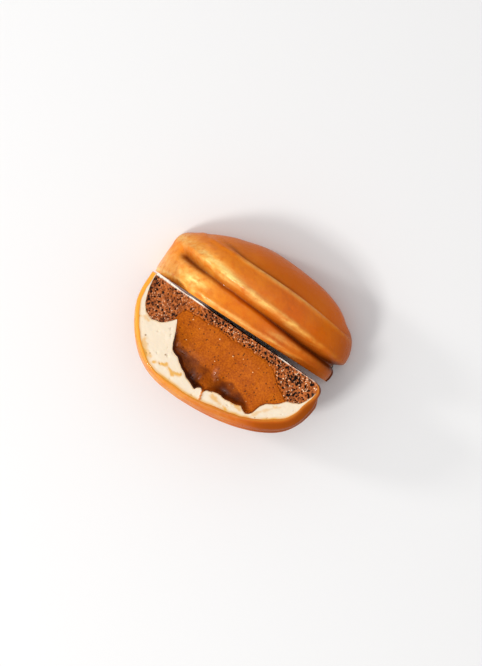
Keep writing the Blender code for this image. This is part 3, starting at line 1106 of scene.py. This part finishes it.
class CaramelCentre(LayerShape):
    """The soft caramel of one half, sagged into a basin."""

    NAME = "caramel_centre"
    SHARP_DEG = 75.0
    SWELLS = Noise(8.0, 83, octaves=2)
    RIPPLES = Noise(1.6, 89, octaves=2)
    PITS = Pores(0.12, (0.14, 0.34), 97, 2.0)
    FILM_SWELLS = Noise(3.5, 103, octaves=2)
    BAND_WAVER = Noise(5.0, 107, octaves=4)
    BAND_PATCHES = Noise(2.4, 137, octaves=3)
    STEP = 0.22
    FACE_POINTS = 104
    EDGE_POINTS = 24
    KNEE_REACH = 12
    SIDE_ROWS = 10
    BOTTOM_ROWS = 6
    BASIN_DEPTH = 5.2
    SIDE_SHARE = 0.995
    TUCK = 0.30
    DRIP_HEIGHT = 0.35
    BUMPS = (
        (1.5, 20.6, 0.7, 1.1, 0.75), (2.8, 22.6, 0.5, 0.8, 0.60), (-14.6, 21.2, 1.3, 0.5, 0.65),
        (-18.4, 20.0, 0.6, 0.9, 0.70), (-6.0, 27.0, 0.8, 1.2, 0.80), (-20.0, 18.2, 0.5, 0.6, 0.60),
        (-3.4, 25.8, 0.5, 0.8, 0.60), (9.0, 24.5, 1.1, 0.5, 0.45), (-21.6, 15.6, 0.4, 0.5, 0.45),
    )
    # How far the near-black film of painted shade reaches from the cream along the wall.
    FILM_REACH = (
        (-27.0, 0.3), (-22.0, 1.4), (-15.0, 2.2), (-3.0, 3.4), (0.5, 1.4), (8.0, 1.0), (24.0, 0.7),
        (34.0, 0.5),
    )
    # The edge, away from the cream, of the band of painted shadow that the cream's edge casts, as heights
    # along the length.
    BAND_LINE = (
        (-24.0, 23.0), (-17.2, 20.1), (-8.7, 20.8), (-0.3, 20.6), (12.4, 21.4), (20.9, 23.5), (26.0, 27.0),
    )

    def rings(self) -> Rings:
        """The centre's rings: up the cut face, over the outside and back along the bottom."""
        insert = self.shape.insert
        first, last = insert.sponge_top[0][0], insert.sponge_top[-1][0]
        x = np.linspace(first, last, int((last - first) / self.STEP))
        tops = insert.top(x)
        floors = np.minimum(insert.divide(x), tops)
        widths = insert.half_width(x, self.shape.dome)
        rings = []
        for station, top, knee, floor, half_width in zip(x, tops, self.knees(tops, floors), floors, widths):
            rings.append(self.ring(station, top, knee, floor, half_width))
        points = np.array(rings)
        face = points[:, : self.FACE_POINTS]
        depth, wall = self.basin(face[:, :, 0], face[:, :, 2], floors)
        face[:, :, 1] += depth
        # Painted shade on the face: the cream's shadow band and the wall's film.
        shade_and_film = mask_on(points, slice(0, self.FACE_POINTS), wall)
        return Rings(points, {"shade_and_film": shade_and_film, "wet": self.wet(points[:, :, 0], points[:, :, 2])})

    def knees(self, tops: Array, floors: Array) -> Array:
        """A calm line under the caramel's torn edge. Most of a ring's face points lie below it, evenly.

        Args:
            tops: the caramel's top on the cut face at each station.
            floors: its bottom.

        Returns:
            The line's heights.
        """
        calm = tops
        for reduce in (np.min, np.mean):
            padded = np.pad(calm, self.KNEE_REACH, mode="edge")
            calm = reduce(np.lib.stride_tricks.sliding_window_view(padded, 2 * self.KNEE_REACH + 1), axis=1)
        return np.maximum(calm - 1.0, floors + 0.3 * (tops - floors))

    def ring(self, x: float, top: float, knee: float, floor: float, half_width: float) -> Array:
        """One station's ring.

        Args:
            x: the station.
            top: the insert's height on the cut face there.
            knee: the height below which most of the face's points lie.
            floor: the sponge's height there.
            half_width: how far the insert reaches from the cut.

        Returns:
            Rows of coordinates.
        """
        power = self.shape.insert.section_power
        thickness = max(top - floor, 0.0)
        tuck = min(self.TUCK, thickness / 2)
        shoulder = math.acos(min((floor / top) ** (power / 2), 1.0))
        side_v, side_w = section(half_width, top, np.linspace(0.0, shoulder, self.SIDE_ROWS), power)
        side_v = side_v * self.SIDE_SHARE
        low_w = np.linspace(floor - tuck, knee, self.FACE_POINTS - self.EDGE_POINTS, endpoint=False)
        face_w = np.concatenate([low_w, np.linspace(knee, top + tuck * 0.5, self.EDGE_POINTS)])
        bottom_v = np.linspace(side_v[-1], 0.0, self.BOTTOM_ROWS + 2)[1:-1]
        v = np.concatenate([np.zeros(self.FACE_POINTS), side_v[1:], bottom_v])
        w = np.concatenate([face_w, side_w[1:], np.full(self.BOTTOM_ROWS, floor)])
        v[self.FACE_POINTS :] = np.maximum(v[self.FACE_POINTS :], self.BASIN_DEPTH * 1.4 * thickness / 30.0)
        return np.stack([np.full_like(v, x), v, w], axis=1)

    def basin(self, x: Array, w: Array, floors: Array) -> tuple[Array, Array]:
        """The sagged surface.

        Args:
            x: a grid of places along the length.
            w: their heights above the base.
            floors: the sponge's height at each station.

        Returns:
            The depth inside the cut plane in millimetres, and painted shade from 0 to 1, partly a thicker
            film of caramel.
        """
        to_cream = self.shape.insert.distance_to_edge(x, w)
        wall = smooth_step(0.0, 1.7, to_cream)
        sag = smooth_step(5.0, 21.0, w) * smooth_step(-25.5, -14.0, x)
        sag *= 1.0 - 0.5 * smooth_step(6.0, 18.0, x)
        sag *= fade(18.0, 27.0, x)
        sag *= 1.0 - 0.75 * hump(2.0, 5.0, x) * smooth_step(21.0, 28.0, w)
        depth = 0.16 + self.BASIN_DEPTH * sag * wall
        depth += 0.16 * self.SWELLS.at(x, w) * wall + 0.05 * self.RIPPLES.at(x, w)
        depth += 0.8 * self.PITS.depth(x, w)
        for centre_x, centre_w, reach_x, reach_w, height in self.BUMPS:
            depth -= height * hump(centre_x, reach_x, x) * hump(centre_w, reach_w, w)
        drip = smooth_step(28.6, 29.6, w) * hump(1.2, 0.9, x)
        depth = depth * (1.0 - drip) - self.DRIP_HEIGHT * drip
        under_cream = (1.0 - drip) * fade(0.0, 0.45, to_cream)
        under_sponge = fade(-0.1, 0.5, w - floors[:, None])
        depth += (0.45 - 0.25 * smooth_step(0.0, 4.0, x)) * under_cream + 0.45 * under_sponge
        # Painted shade: a near-black film along the wall, partly a thicker film of caramel, and a band where
        # the cream's edge casts its shadow.
        film_reach = along(self.FILM_REACH, x) * (1.0 + 0.35 * self.FILM_SWELLS.at(x, w))
        film = fade(0.35 * film_reach, film_reach, to_cream) * smooth_step(13.0, 18.0, w)
        film *= 1.0 - 0.45 * smooth_step(0.0, 3.0, x)
        line = along(self.BAND_LINE, x) + 0.9 * self.BAND_WAVER.at(x, w)
        band = (0.46 + 0.24 * smooth_step(2.0, 6.0, x)) * smooth_step(line - 0.7, line + 0.7, w)
        band *= 1.0 + 0.35 * self.BAND_PATCHES.at(x, w)
        band *= fade(16.0, 22.0, x) * (1.0 - 0.55 * hump(1.2, 3.2, x))
        return depth, capped(np.maximum(film, band) * (1.0 - drip))

    def wet(self, x: Array, w: Array) -> Array:
        """Where the caramel's surface is wet and shines, from 0 to 1."""
        shining = np.zeros_like(x)
        for centre_x, centre_w, reach_x, reach_w, _ in self.BUMPS:
            shining += hump(centre_x, 1.5 * reach_x, x) * hump(centre_w, 1.5 * reach_w, w)
        along_wall = 0.12 * smooth_step(17.0, 20.0, w) * fade(-8.0, -3.0, x)
        return capped(shining + along_wall)


class NodeKit:
    """Adds nodes to one node tree and joins them up."""

    def __init__(self, tree: NodeTree) -> None:
        """Args:
            tree: the tree to add to.
        """
        self.tree = tree

    def add(self, kind: str, settings: dict | None = None, **inputs) -> bpy.types.Node:
        """Adds a node.

        Args:
            kind: its type, such as "ShaderNodeTexNoise".
            settings: its properties.
            inputs: values or sockets for its inputs, with _ for a space in a name.

        Returns:
            The node.
        """
        node = self.tree.nodes.new(kind)
        for name, value in (settings or {}).items():
            setattr(node, name, value)
        for name, value in inputs.items():
            self.feed(node.inputs[name.replace("_", " ")], value)
        return node

    def feed(self, socket: NodeSocket, value) -> None:
        """Links a socket to another, or sets its value."""
        if isinstance(value, NodeSocket):
            self.tree.links.new(value, socket)
        else:
            socket.default_value = value

    def place(self) -> NodeSocket:
        """Where each point is, in metres."""
        return self.add("ShaderNodeTexCoord").outputs["Object"]

    def mask(self, name: str) -> NodeSocket:
        """A named number that the mesh carries."""
        return self.add("ShaderNodeAttribute", {"attribute_name": name}).outputs["Fac"]

    def mix(self, share, first, second) -> NodeSocket:
        """A colour between two.

        Args:
            share: 0 for the first, 1 for the second, or a socket.
            first: a colour or a socket.
            second: a colour or a socket.

        Returns:
            The mixed colour.
        """
        node = self.tree.nodes.new("ShaderNodeMix")
        node.data_type = "RGBA"
        self.feed(node.inputs[0], share)
        self.feed(node.inputs[6], first)
        self.feed(node.inputs[7], second)
        return node.outputs[2]

    def math(self, operation: str, first, second=0.0, clamp: bool = False) -> NodeSocket:
        """One sum on two numbers.

        Args:
            operation: Blender's name for it.
            first: a number or a socket.
            second: the same.
            clamp: whether the result is kept from 0 to 1.

        Returns:
            The result.
        """
        node = self.add("ShaderNodeMath", {"operation": operation, "use_clamp": clamp})
        self.feed(node.inputs[0], first)
        self.feed(node.inputs[1], second)
        return node.outputs[0]

    def span(self, value, low: float, high: float, to_low: float, to_high: float) -> NodeSocket:
        """A number moved from one range to another, and kept inside it.

        Args:
            value: a socket.
            low: the value that becomes to_low.
            high: the value that becomes to_high.
            to_low: the result at low.
            to_high: the result at high.

        Returns:
            The result.
        """
        node = self.add("ShaderNodeMapRange")
        for name, number in (("From Min", low), ("From Max", high), ("To Min", to_low), ("To Max", to_high)):
            node.inputs[name].default_value = number
        self.feed(node.inputs["Value"], value)
        return node.outputs["Result"]


def shade_group(name: str, inputs: dict[str, float], output: str) -> tuple[NodeKit, dict, NodeSocket]:
    """A node group with number sockets.

    Args:
        name: the group's name.
        inputs: its inputs' names and first values.
        output: its output's name.

    Returns:
        A kit that adds to the group, the sockets that give its inputs, and the one to feed.
    """
    group = bpy.data.node_groups.new(name, "ShaderNodeTree")
    for socket_name, value in inputs.items():
        socket = group.interface.new_socket(socket_name, in_out="INPUT", socket_type="NodeSocketFloat")
        socket.default_value = value
    group.interface.new_socket(output, in_out="OUTPUT", socket_type="NodeSocketFloat")
    given = group.nodes.new("NodeGroupInput").outputs
    put = group.nodes.new("NodeGroupOutput").inputs
    return NodeKit(group), given, put[output]


def mottle_group() -> NodeTree:
    """Soft patches of noise. Scale is in swells per metre, and a Squeeze below 1 draws them out along x."""
    sockets = {"Scale": 100.0, "Detail": 3.0, "Contrast": 0.3, "Squeeze": 1.0}
    kit, given, put = shade_group("mottle", sockets, "Patches")
    ratio = kit.add("ShaderNodeCombineXYZ", X=given["Squeeze"], Y=1.0, Z=1.0).outputs["Vector"]
    drawn = kit.add("ShaderNodeVectorMath", {"operation": "MULTIPLY"})
    kit.feed(drawn.inputs[0], kit.place())
    kit.feed(drawn.inputs[1], ratio)
    noise = kit.add("ShaderNodeTexNoise", Vector=drawn.outputs["Vector"], Scale=given["Scale"])
    kit.feed(noise.inputs["Detail"], given["Detail"])
    centred = kit.math("SUBTRACT", noise.outputs["Fac"], 0.5)
    stretched = kit.math("DIVIDE", centred, given["Contrast"])
    kit.feed(put, kit.math("ADD", stretched, 0.5, clamp=True))
    return kit.tree


def speckle_group() -> NodeTree:
    """Small round specks. Scale is in cells per metre, Size a share of a cell, Share how many have one."""
    kit, given, put = shade_group("speckle", {"Scale": 900.0, "Size": 0.25, "Share": 0.3}, "Specks")
    cells = kit.add("ShaderNodeTexVoronoi", Vector=kit.place(), Scale=given["Scale"])
    inside = kit.math("LESS_THAN", cells.outputs["Distance"], given["Size"])
    pick = kit.add("ShaderNodeSeparateColor", Color=cells.outputs["Color"]).outputs["Red"]
    chosen = kit.math("LESS_THAN", pick, given["Share"])
    kit.feed(put, kit.math("MULTIPLY", inside, chosen))
    return kit.tree


def lengthwise_group() -> NodeTree:
    """A share that rises from 0 at From to 1 at To, in metres along the length."""
    kit, given, put = shade_group("lengthwise", {"From": -0.04, "To": 0.04}, "Share")
    x = kit.add("ShaderNodeSeparateXYZ", Vector=kit.place()).outputs["X"]
    rise = kit.add("ShaderNodeMapRange", Value=x)
    kit.feed(rise.inputs["From Min"], given["From"])
    kit.feed(rise.inputs["From Max"], given["To"])
    kit.feed(put, rise.outputs["Result"])
    return kit.tree


@dataclass(frozen=True)
class Effects:
    """The shading effects that several finishes share, as node groups."""

    mottle: NodeTree
    speckle: NodeTree
    lengthwise: NodeTree


class Paint(NodeKit):
    """A new material, its Principled shader and the shared effects placed in it."""

    def __init__(self, name: str, effects: Effects | None = None) -> None:
        """Args:
            name: the material's name.
            effects: the shared effects, where it uses them.
        """
        self.material = bpy.data.materials.new(name)
        self.material.use_nodes = True
        super().__init__(self.material.node_tree)
        self.effects = effects
        self.shader = self.tree.nodes["Principled BSDF"]

    def set(self, name: str, value: NodeSocket | float | tuple) -> None:
        """Feeds one of the shader's inputs."""
        self.feed(self.shader.inputs[name], value)

    def effect(self, group: NodeTree, **inputs: float) -> NodeSocket:
        """Places a shared group and returns its only output."""
        return self.add("ShaderNodeGroup", {"node_tree": group}, **inputs).outputs[0]

    def patches(self, scale: float, detail: float, contrast: float, squeeze: float = 1.0) -> NodeSocket:
        """Places the shared mottle."""
        values = {"Scale": scale, "Detail": detail, "Contrast": contrast, "Squeeze": squeeze}
        return self.effect(self.effects.mottle, **values)

    def specks(self, scale: float, size: float, share: float) -> NodeSocket:
        """Places the shared specks."""
        return self.effect(self.effects.speckle, Scale=scale, Size=size, Share=share)

    def to_nose(self, start: float, end: float) -> NodeSocket:
        """Places the shared rise along the length, from start to end in metres."""
        return self.effect(self.effects.lengthwise, From=start, To=end)

    def tint(self, colour, towards: tuple, share: NodeSocket, strength: float) -> NodeSocket:
        """The colour moved towards another, by the strength where the share is 1."""
        return self.mix(self.math("MULTIPLY", share, strength), colour, towards)

    def emboss(self, height: NodeSocket, strength: float, distance: float) -> None:
        """Bumps the surface by a height, as far as the distance in metres."""
        bump = self.add("ShaderNodeBump", Strength=strength, Distance=distance, Height=height)
        self.set("Normal", bump.outputs["Normal"])


@dataclass(frozen=True)
class GlazeFinish:
    """Set caramel glaze: glossy; painted highlight, partly thinner glaze, on crests; painted shade in
    creases.
    """

    orange: tuple = (0.90, 0.290, 0.010, 1.0)
    amber: tuple = (0.65, 0.118, 0.001, 1.0)
    golden_highlight: tuple = (1.00, 0.80, 0.250, 1.0)
    bronze: tuple = (0.88, 0.33, 0.028, 1.0)
    ruddy: tuple = (0.62, 0.130, 0.008, 1.0)
    deep: tuple = (0.160, 0.028, 0.002, 1.0)
    cut_edge: tuple = (0.92, 0.36, 0.030, 1.0)
    cut_nose: tuple = (0.55, 0.160, 0.012, 1.0)

    def material(self, effects: Effects) -> bpy.types.Material:
        """Builds the material from the shared effects."""
        paint = Paint("caramel_glaze", effects)
        to_nose = paint.to_nose(-0.042, 0.014)
        uneven = paint.math("SUBTRACT", paint.patches(62.0, 3.0, 0.42), 0.5)
        blend = paint.math("ADD", to_nose, paint.math("MULTIPLY", uneven, 0.55), True)
        body = paint.mix(blend, self.orange, self.amber)
        # Painted highlight colour: gold towards the blunt end, bronze towards the less lit nose.
        highlight_colour = paint.mix(paint.to_nose(-0.010, 0.035), self.golden_highlight, self.bronze)
        silk = paint.patches(520.0, 2.0, 0.35, squeeze=0.14)
        # Painted highlight on crests, partly thinner glaze, streaked along the length.
        highlight_and_thin = paint.math("MULTIPLY", paint.mask("highlight_and_thin"), paint.span(silk, 0.0, 1.0, 0.30, 1.05), True)
        colour = paint.mix(highlight_and_thin, body, highlight_colour)
        streaks = paint.patches(150.0, 5.0, 0.5)
        # Painted shade on the far side and nose, and the glaze's own redder tone at the blunt end.
        side = paint.math("MULTIPLY", paint.mask("side"), paint.span(streaks, 0.0, 1.0, 0.7, 1.0))
        colour = paint.tint(colour, self.ruddy, side, 0.85)
        blotches = paint.patches(330.0, 4.0, 0.36)
        colour = paint.mix(paint.span(blotches, 0.50, 1.0, 0.0, 0.46), colour, self.amber)
        freckles = paint.patches(210.0, 6.0, 0.30)
        colour = paint.mix(paint.span(freckles, 0.72, 1.0, 0.0, 0.34), colour, self.ruddy)
        colour = paint.tint(colour, self.ruddy, paint.patches(1400.0, 2.0, 0.4), 0.16)
        # Painted shade, deep brown, in the groove and crease, at the foot and on the nose.
        colour = paint.mix(paint.mask("pressed"), colour, self.deep)
        colour = paint.mix(paint.mask("cut"), colour, paint.mix(to_nose, self.cut_edge, self.cut_nose))
        paint.set("Base Color", colour)
        fine = paint.patches(700.0, 3.0, 0.5)
        paint.set("Roughness", paint.span(fine, 0.0, 1.0, 0.24, 0.40))
        paint.set("Specular IOR Level", paint.span(paint.mask("dull"), 0.0, 0.5, 0.10, 0.02))
        paint.set("Coat Weight", paint.span(paint.mask("dull"), 0.0, 0.5, 0.34, 0.06))
        paint.set("Coat Roughness", 0.07)
        low_swells = paint.math("MULTIPLY", blotches, 0.45)
        height = paint.math("ADD", paint.math("MULTIPLY", fine, 0.22), low_swells)
        paint.emboss(paint.math("ADD", height, streaks), 0.45, 0.0005)
        return paint.material


@dataclass(frozen=True)
class CreamFinish:
    """Ivory mousse with small air bubbles, painted shade in them, and stains of caramel."""

    ivory: tuple = (0.80, 0.68, 0.52, 1.0)
    shade: tuple = (0.76, 0.60, 0.41, 1.0)
    stain: tuple = (0.72, 0.36, 0.045, 1.0)
    drip: tuple = (0.60, 0.165, 0.004, 1.0)
    bubble_shade: tuple = (0.30, 0.15, 0.06, 1.0)

    def material(self, effects: Effects) -> bpy.types.Material:
        """Builds the material from the shared effects."""
        paint = Paint("ivory_cream", effects)
        colour = paint.tint(self.ivory, self.shade, paint.patches(240.0, 4.0, 0.5), 0.45)
        specks = paint.specks(520.0, 0.22, 0.09)
        # Painted shade in small bubbles, which the bump also presses in.
        colour = paint.tint(colour, self.bubble_shade, specks, 0.75)
        colour = paint.mix(paint.mask("stain"), colour, self.stain)
        colour = paint.mix(paint.mask("drip"), colour, self.drip)
        paint.set("Base Color", colour)
        fine = paint.patches(900.0, 3.0, 0.5)
        paint.set("Roughness", paint.span(fine, 0.0, 1.0, 0.45, 0.60))
        paint.set("Subsurface Weight", 0.12)
        paint.set("Subsurface Radius", (1.0, 0.7, 0.4))
        paint.set("Subsurface Scale", 0.0010)
        paint.emboss(paint.math("SUBTRACT", paint.math("MULTIPLY", fine, 0.3), specks), 0.25, 0.0003)
        return paint.material


@dataclass(frozen=True)
class CaramelFinish:
    """Soft caramel: smooth and moist, with specks, and painted shade in its pits, in a band and on its thick
    film.
    """

    lit: tuple = (0.53, 0.124, 0.002, 1.0)
    deep: tuple = (0.28, 0.046, 0.001, 1.0)
    # Painted shade: shadow for the band below the cream's edge; film for the wall, partly a thicker film of
    # caramel.
    shadow: tuple = (0.150, 0.026, 0.001, 1.0)
    film: tuple = (0.060, 0.010, 0.001, 1.0)
    pit_shade: tuple = (0.070, 0.018, 0.004, 1.0)
    glint: tuple = (0.95, 0.62, 0.30, 1.0)

    def material(self, effects: Effects) -> bpy.types.Material:
        """Builds the material from the shared effects."""
        paint = Paint("soft_caramel", effects)
        grain = paint.patches(1300.0, 2.0, 0.25)
        patches = paint.math("MULTIPLY", paint.patches(150.0, 5.0, 0.45), 0.42)
        tone = paint.math("ADD", patches, paint.math("MULTIPLY", grain, 0.50), True)
        colour = paint.mix(tone, self.lit, self.deep)
        specks = paint.specks(900.0, 0.30, 0.22)
        # Painted shade in small pits, which the bump also presses in.
        colour = paint.tint(colour, self.pit_shade, specks, 0.8)
        colour = paint.tint(colour, self.glint, paint.specks(930.0, 0.26, 0.035), 0.7)
        # Painted shade: the band below the cream's edge, then the near-black film along the wall.
        shade_and_film = paint.mask("shade_and_film")
        colour = paint.mix(paint.span(shade_and_film, 0.0, 0.70, 0.0, 1.0), colour, self.shadow)
        colour = paint.mix(paint.span(shade_and_film, 0.70, 1.0, 0.0, 1.0), colour, self.film)
        paint.set("Base Color", colour)
        wet = paint.math("MAXIMUM", paint.mask("wet"), paint.span(shade_and_film, 0.85, 1.0, 0.0, 0.35))
        paint.set("Roughness", paint.span(wet, 0.0, 1.0, 0.50, 0.14))
        paint.set("Specular IOR Level", paint.span(wet, 0.0, 1.0, 0.08, 0.85))
        paint.emboss(paint.math("SUBTRACT", paint.math("MULTIPLY", grain, 0.5), specks), 0.45, 0.0003)
        return paint.material


@dataclass(frozen=True)
class SpongeFinish:
    """Brown sponge: pale crumb walls round pores, with painted shade near black in the pores."""

    crumb: tuple = (0.58, 0.158, 0.030, 1.0)
    pale: tuple = (1.00, 0.78, 0.52, 1.0)
    baked: tuple = (0.20, 0.042, 0.008, 1.0)
    caramel: tuple = (0.50, 0.115, 0.004, 1.0)
    pore_shade: tuple = (0.010, 0.004, 0.003, 1.0)
    film: tuple = (0.88, 0.80, 0.68, 1.0)

    def material(self, effects: Effects) -> bpy.types.Material:
        """Builds the material from the shared effects."""
        paint = Paint("porous_sponge", effects)
        to_nose = paint.to_nose(-0.026, 0.004)
        patches = paint.patches(620.0, 3.0, 0.30)
        browned = paint.math("MULTIPLY", patches, paint.span(to_nose, 0.0, 1.0, 0.95, 0.65))
        colour = paint.mix(browned, self.crumb, self.baked)
        on_walls = paint.span(paint.mask("pore_shade"), 0.42, 0.50, 1.0, 0.0)
        shown = paint.math("MULTIPLY", paint.specks(1300.0, 0.42, 0.38), on_walls)
        shown = paint.math("MULTIPLY", shown, paint.span(to_nose, 0.0, 1.0, 0.40, 0.85))
        colour = paint.mix(shown, colour, self.pale)
        colour = paint.mix(paint.mask("soaked"), colour, self.caramel)
        # Painted shade, near black, in the pores.
        colour = paint.mix(paint.span(paint.mask("pore_shade"), 0.50, 0.85, 0.0, 1.0), colour, self.pore_shade)
        colour = paint.mix(paint.mask("pale"), colour, self.film)
        paint.set("Base Color", colour)
        paint.set("Roughness", paint.span(patches, 0.0, 1.0, 0.70, 0.90))
        paint.set("Specular IOR Level", 0.3)
        paint.emboss(paint.patches(1500.0, 3.0, 0.4), 0.5, 0.0003)
        return paint.material


@dataclass
class Dessert:
    """Both halves of the dessert, dressed.

    Attributes:
        cast: the outside as the solids have it.
        dome: the same with its cut edge, groove and crease as crisp as in the photograph.
        insert: the sponge and caramel.
    """

    cast: Dome = Dome()
    dome: Dome = Dome(
        cut_rounding=((-45.0, 0.3), (-38.0, 1.0), (36.0, 1.1), (45.0, 0.4)),
        cut_rounding_reach=2.4,
        groove_half_width=1.75,
        groove_depth=((-41.0, 0.0), (-38.0, 2.5), (0.0, 2.4), (30.0, 3.2), (45.0, 2.2)),
        ridge_drop=((-44.0, 0.2), (-32.0, 2.2), (-5.0, 3.1), (20.0, 5.1), (36.0, 4.7), (45.0, 2.4)),
        cut_crest=(2.3, 1.1, 0.35),
        groove_crest=(3.1, 1.2, 0.34),
        crease_depth=1.7,
        crease_step=(-0.5, 0.9),
        crease_crest=(-1.2, 0.9, 0.36),
        wander=0.35,
        marks=(
            (7.3, 24.0, 0.7, 0.6, 0.25), (-33.0, 24.5, 1.3, 1.3, -0.35), (-41.8, 18.0, 1.0, 1.0, -0.30),
            (-30.0, 21.0, 0.9, 0.9, 0.15), (-32.0, 4.2, 5.0, 0.45, 0.14), (-29.5, 6.2, 6.5, 0.45, 0.16),
            (-27.5, 8.0, 3.5, 0.40, 0.12), (13.0, 17.5, 1.1, 0.8, -0.16), (-5.0, 28.0, 1.8, 1.0, -0.20),
        ),
    )
    insert: Insert = Insert()

    def outside(self, half: Half) -> Dome:
        """The finished outside of a half.

        Args:
            half: which half. Beyond the tipped half's cut edge the photograph shows one smooth band.

        Returns:
            Its dome.
        """
        if half is Half.STANDING:
            return self.dome
        return replace(
            self.dome,
            groove_depth=((-41.0, 0.0), (-36.0, 0.5), (0.0, 0.8), (30.0, 1.0), (45.0, 0.7)),
            ridge_drop=((-44.0, 0.2), (-32.0, 2.2), (-5.0, 3.2), (20.0, 4.4), (36.0, 3.8), (45.0, 2.4)),
            ridge_shoulder=(-10.5, 2.5),
            cut_rounding=((-45.0, 0.3), (-38.0, 1.0), (22.0, 1.1), (37.0, 2.4), (45.0, 2.2)),
            cut_rounding_reach=3.4,
            cut_crest=(2.3, 1.1, 0.0),
            groove_crest=(3.1, 1.2, 0.0),
            marks=(),
        )

    def build(self) -> None:
        """Makes and declares every layer of both halves."""
        effects = Effects(mottle_group(), speckle_group(), lengthwise_group())
        finishes = {
            Layer.GLAZE: GlazeFinish().material(effects),
            Layer.CREAM: CreamFinish().material(effects),
            Layer.CARAMEL: CaramelFinish().material(effects),
            Layer.SPONGE: SpongeFinish().material(effects),
        }
        for half in Half:
            shape = HalfShape(half, self.outside(half), self.insert)
            placement = Placement(half, self.cast)
            layers = {
                Layer.GLAZE: GlazeCoat(shape, placement),
                Layer.CREAM: CreamBody(shape, placement),
                Layer.CARAMEL: CaramelCentre(shape, placement),
                Layer.SPONGE: SpongeBase(shape, placement),
            }
            for layer, maker in layers.items():
                piece = maker.build()
                piece.data.materials.append(finishes[layer])
                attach(piece, "root")
                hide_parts(f"{half.value}_{layer.value}")
                LOG.info("%s: %d faces", piece.name, len(piece.data.polygons))


@dataclass
class Studio:
    """A pale floor, soft light and a camera straight above."""

    camera_height: float = 2.0
    picture_height: float = 0.2860
    sensor_mm: float = 24.0
    turn_deg: float = 33.0
    centre: tuple[float, float] = (0.0007, 0.0004)
    floor_reach: float = 3.0
    floor_dark: tuple = (0.77, 0.765, 0.76, 1.0)
    floor_light: tuple = (0.81, 0.805, 0.80, 1.0)
    daylight: tuple = (1.0, 0.985, 0.965)
    surround: tuple = (0.97, 0.98, 1.0, 1.0)
    surround_strength: float = 0.64

    def build(self) -> None:
        """Makes the floor, the lights, the world and the camera."""
        self.floor()
        self.lights()
        self.world()
        self.camera()
        bpy.context.scene.view_settings.view_transform = "Standard"

    def camera(self) -> None:
        """Points the camera straight down, turned so that the dessert lies as in the photograph."""
        data = bpy.data.cameras.new("camera")
        data.sensor_fit = "VERTICAL"
        data.sensor_height = self.sensor_mm
        data.lens = self.sensor_mm * self.camera_height / self.picture_height
        data.clip_end = 20.0
        camera = bpy.data.objects.new("camera", data)
        camera.location = (*self.centre, self.camera_height)
        camera.rotation_euler = (0.0, 0.0, math.radians(self.turn_deg))
        bpy.context.scene.collection.objects.link(camera)
        bpy.context.scene.camera = camera

    def floor(self) -> None:
        """Lays a pale matt floor."""
        paint = Paint("pale_floor")
        noise = paint.add("ShaderNodeTexNoise", Scale=6.0, Detail=2.0)
        paint.set("Base Color", paint.mix(noise.outputs["Fac"], self.floor_dark, self.floor_light))
        paint.set("Roughness", 0.6)
        mesh = bpy.data.meshes.new("floor")
        half = self.floor_reach
        corners = [(-half, -half, 0.0), (half, -half, 0.0), (half, half, 0.0), (-half, half, 0.0)]
        mesh.from_pydata(corners, [], [(0, 1, 2, 3)])
        mesh.materials.append(paint.material)
        floor = bpy.data.objects.new("floor", mesh)
        bpy.context.scene.collection.objects.link(floor)

    def lights(self) -> None:
        """Hangs a window and a soft curtain of light to the picture's left, and a weak fill to its right."""
        turn = Matrix.Rotation(math.radians(self.turn_deg), 3, "Z")
        for name, place, size, watts, colour in (
            ("window", Vector((-0.85, -0.55, 1.15)), 0.28, 10.0, self.daylight),
            ("low window", Vector((-1.25, 0.50, 0.62)), 0.20, 6.0, self.daylight),
            ("curtain", Vector((-0.95, -0.10, 1.25)), 1.10, 4.0, self.daylight),
            ("fill", Vector((0.5, 0.9, 1.3)), 0.9, 1.0, (0.95, 0.97, 1.0)),
        ):
            data = bpy.data.lights.new(name, "AREA")
            data.size = size
            data.energy = watts
            data.color = colour
            light = bpy.data.objects.new(name, data)
            light.location = turn @ place
            light.rotation_euler = (-light.location).to_track_quat("-Z", "Y").to_euler()
            bpy.context.scene.collection.objects.link(light)

    def world(self) -> None:
        """Sets a plain pale surround."""
        world = bpy.data.worlds.new("surround")
        world.use_nodes = True
        background = world.node_tree.nodes["Background"]
        background.inputs["Color"].default_value = self.surround
        background.inputs["Strength"].default_value = self.surround_strength
        bpy.context.scene.world = world


def main() -> None:
    """Dresses the frame."""
    logging.basicConfig(level=logging.INFO, format="%(message)s")
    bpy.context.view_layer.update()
    Studio().build()
    Dessert().build()


if __name__ == "__main__":
    main()
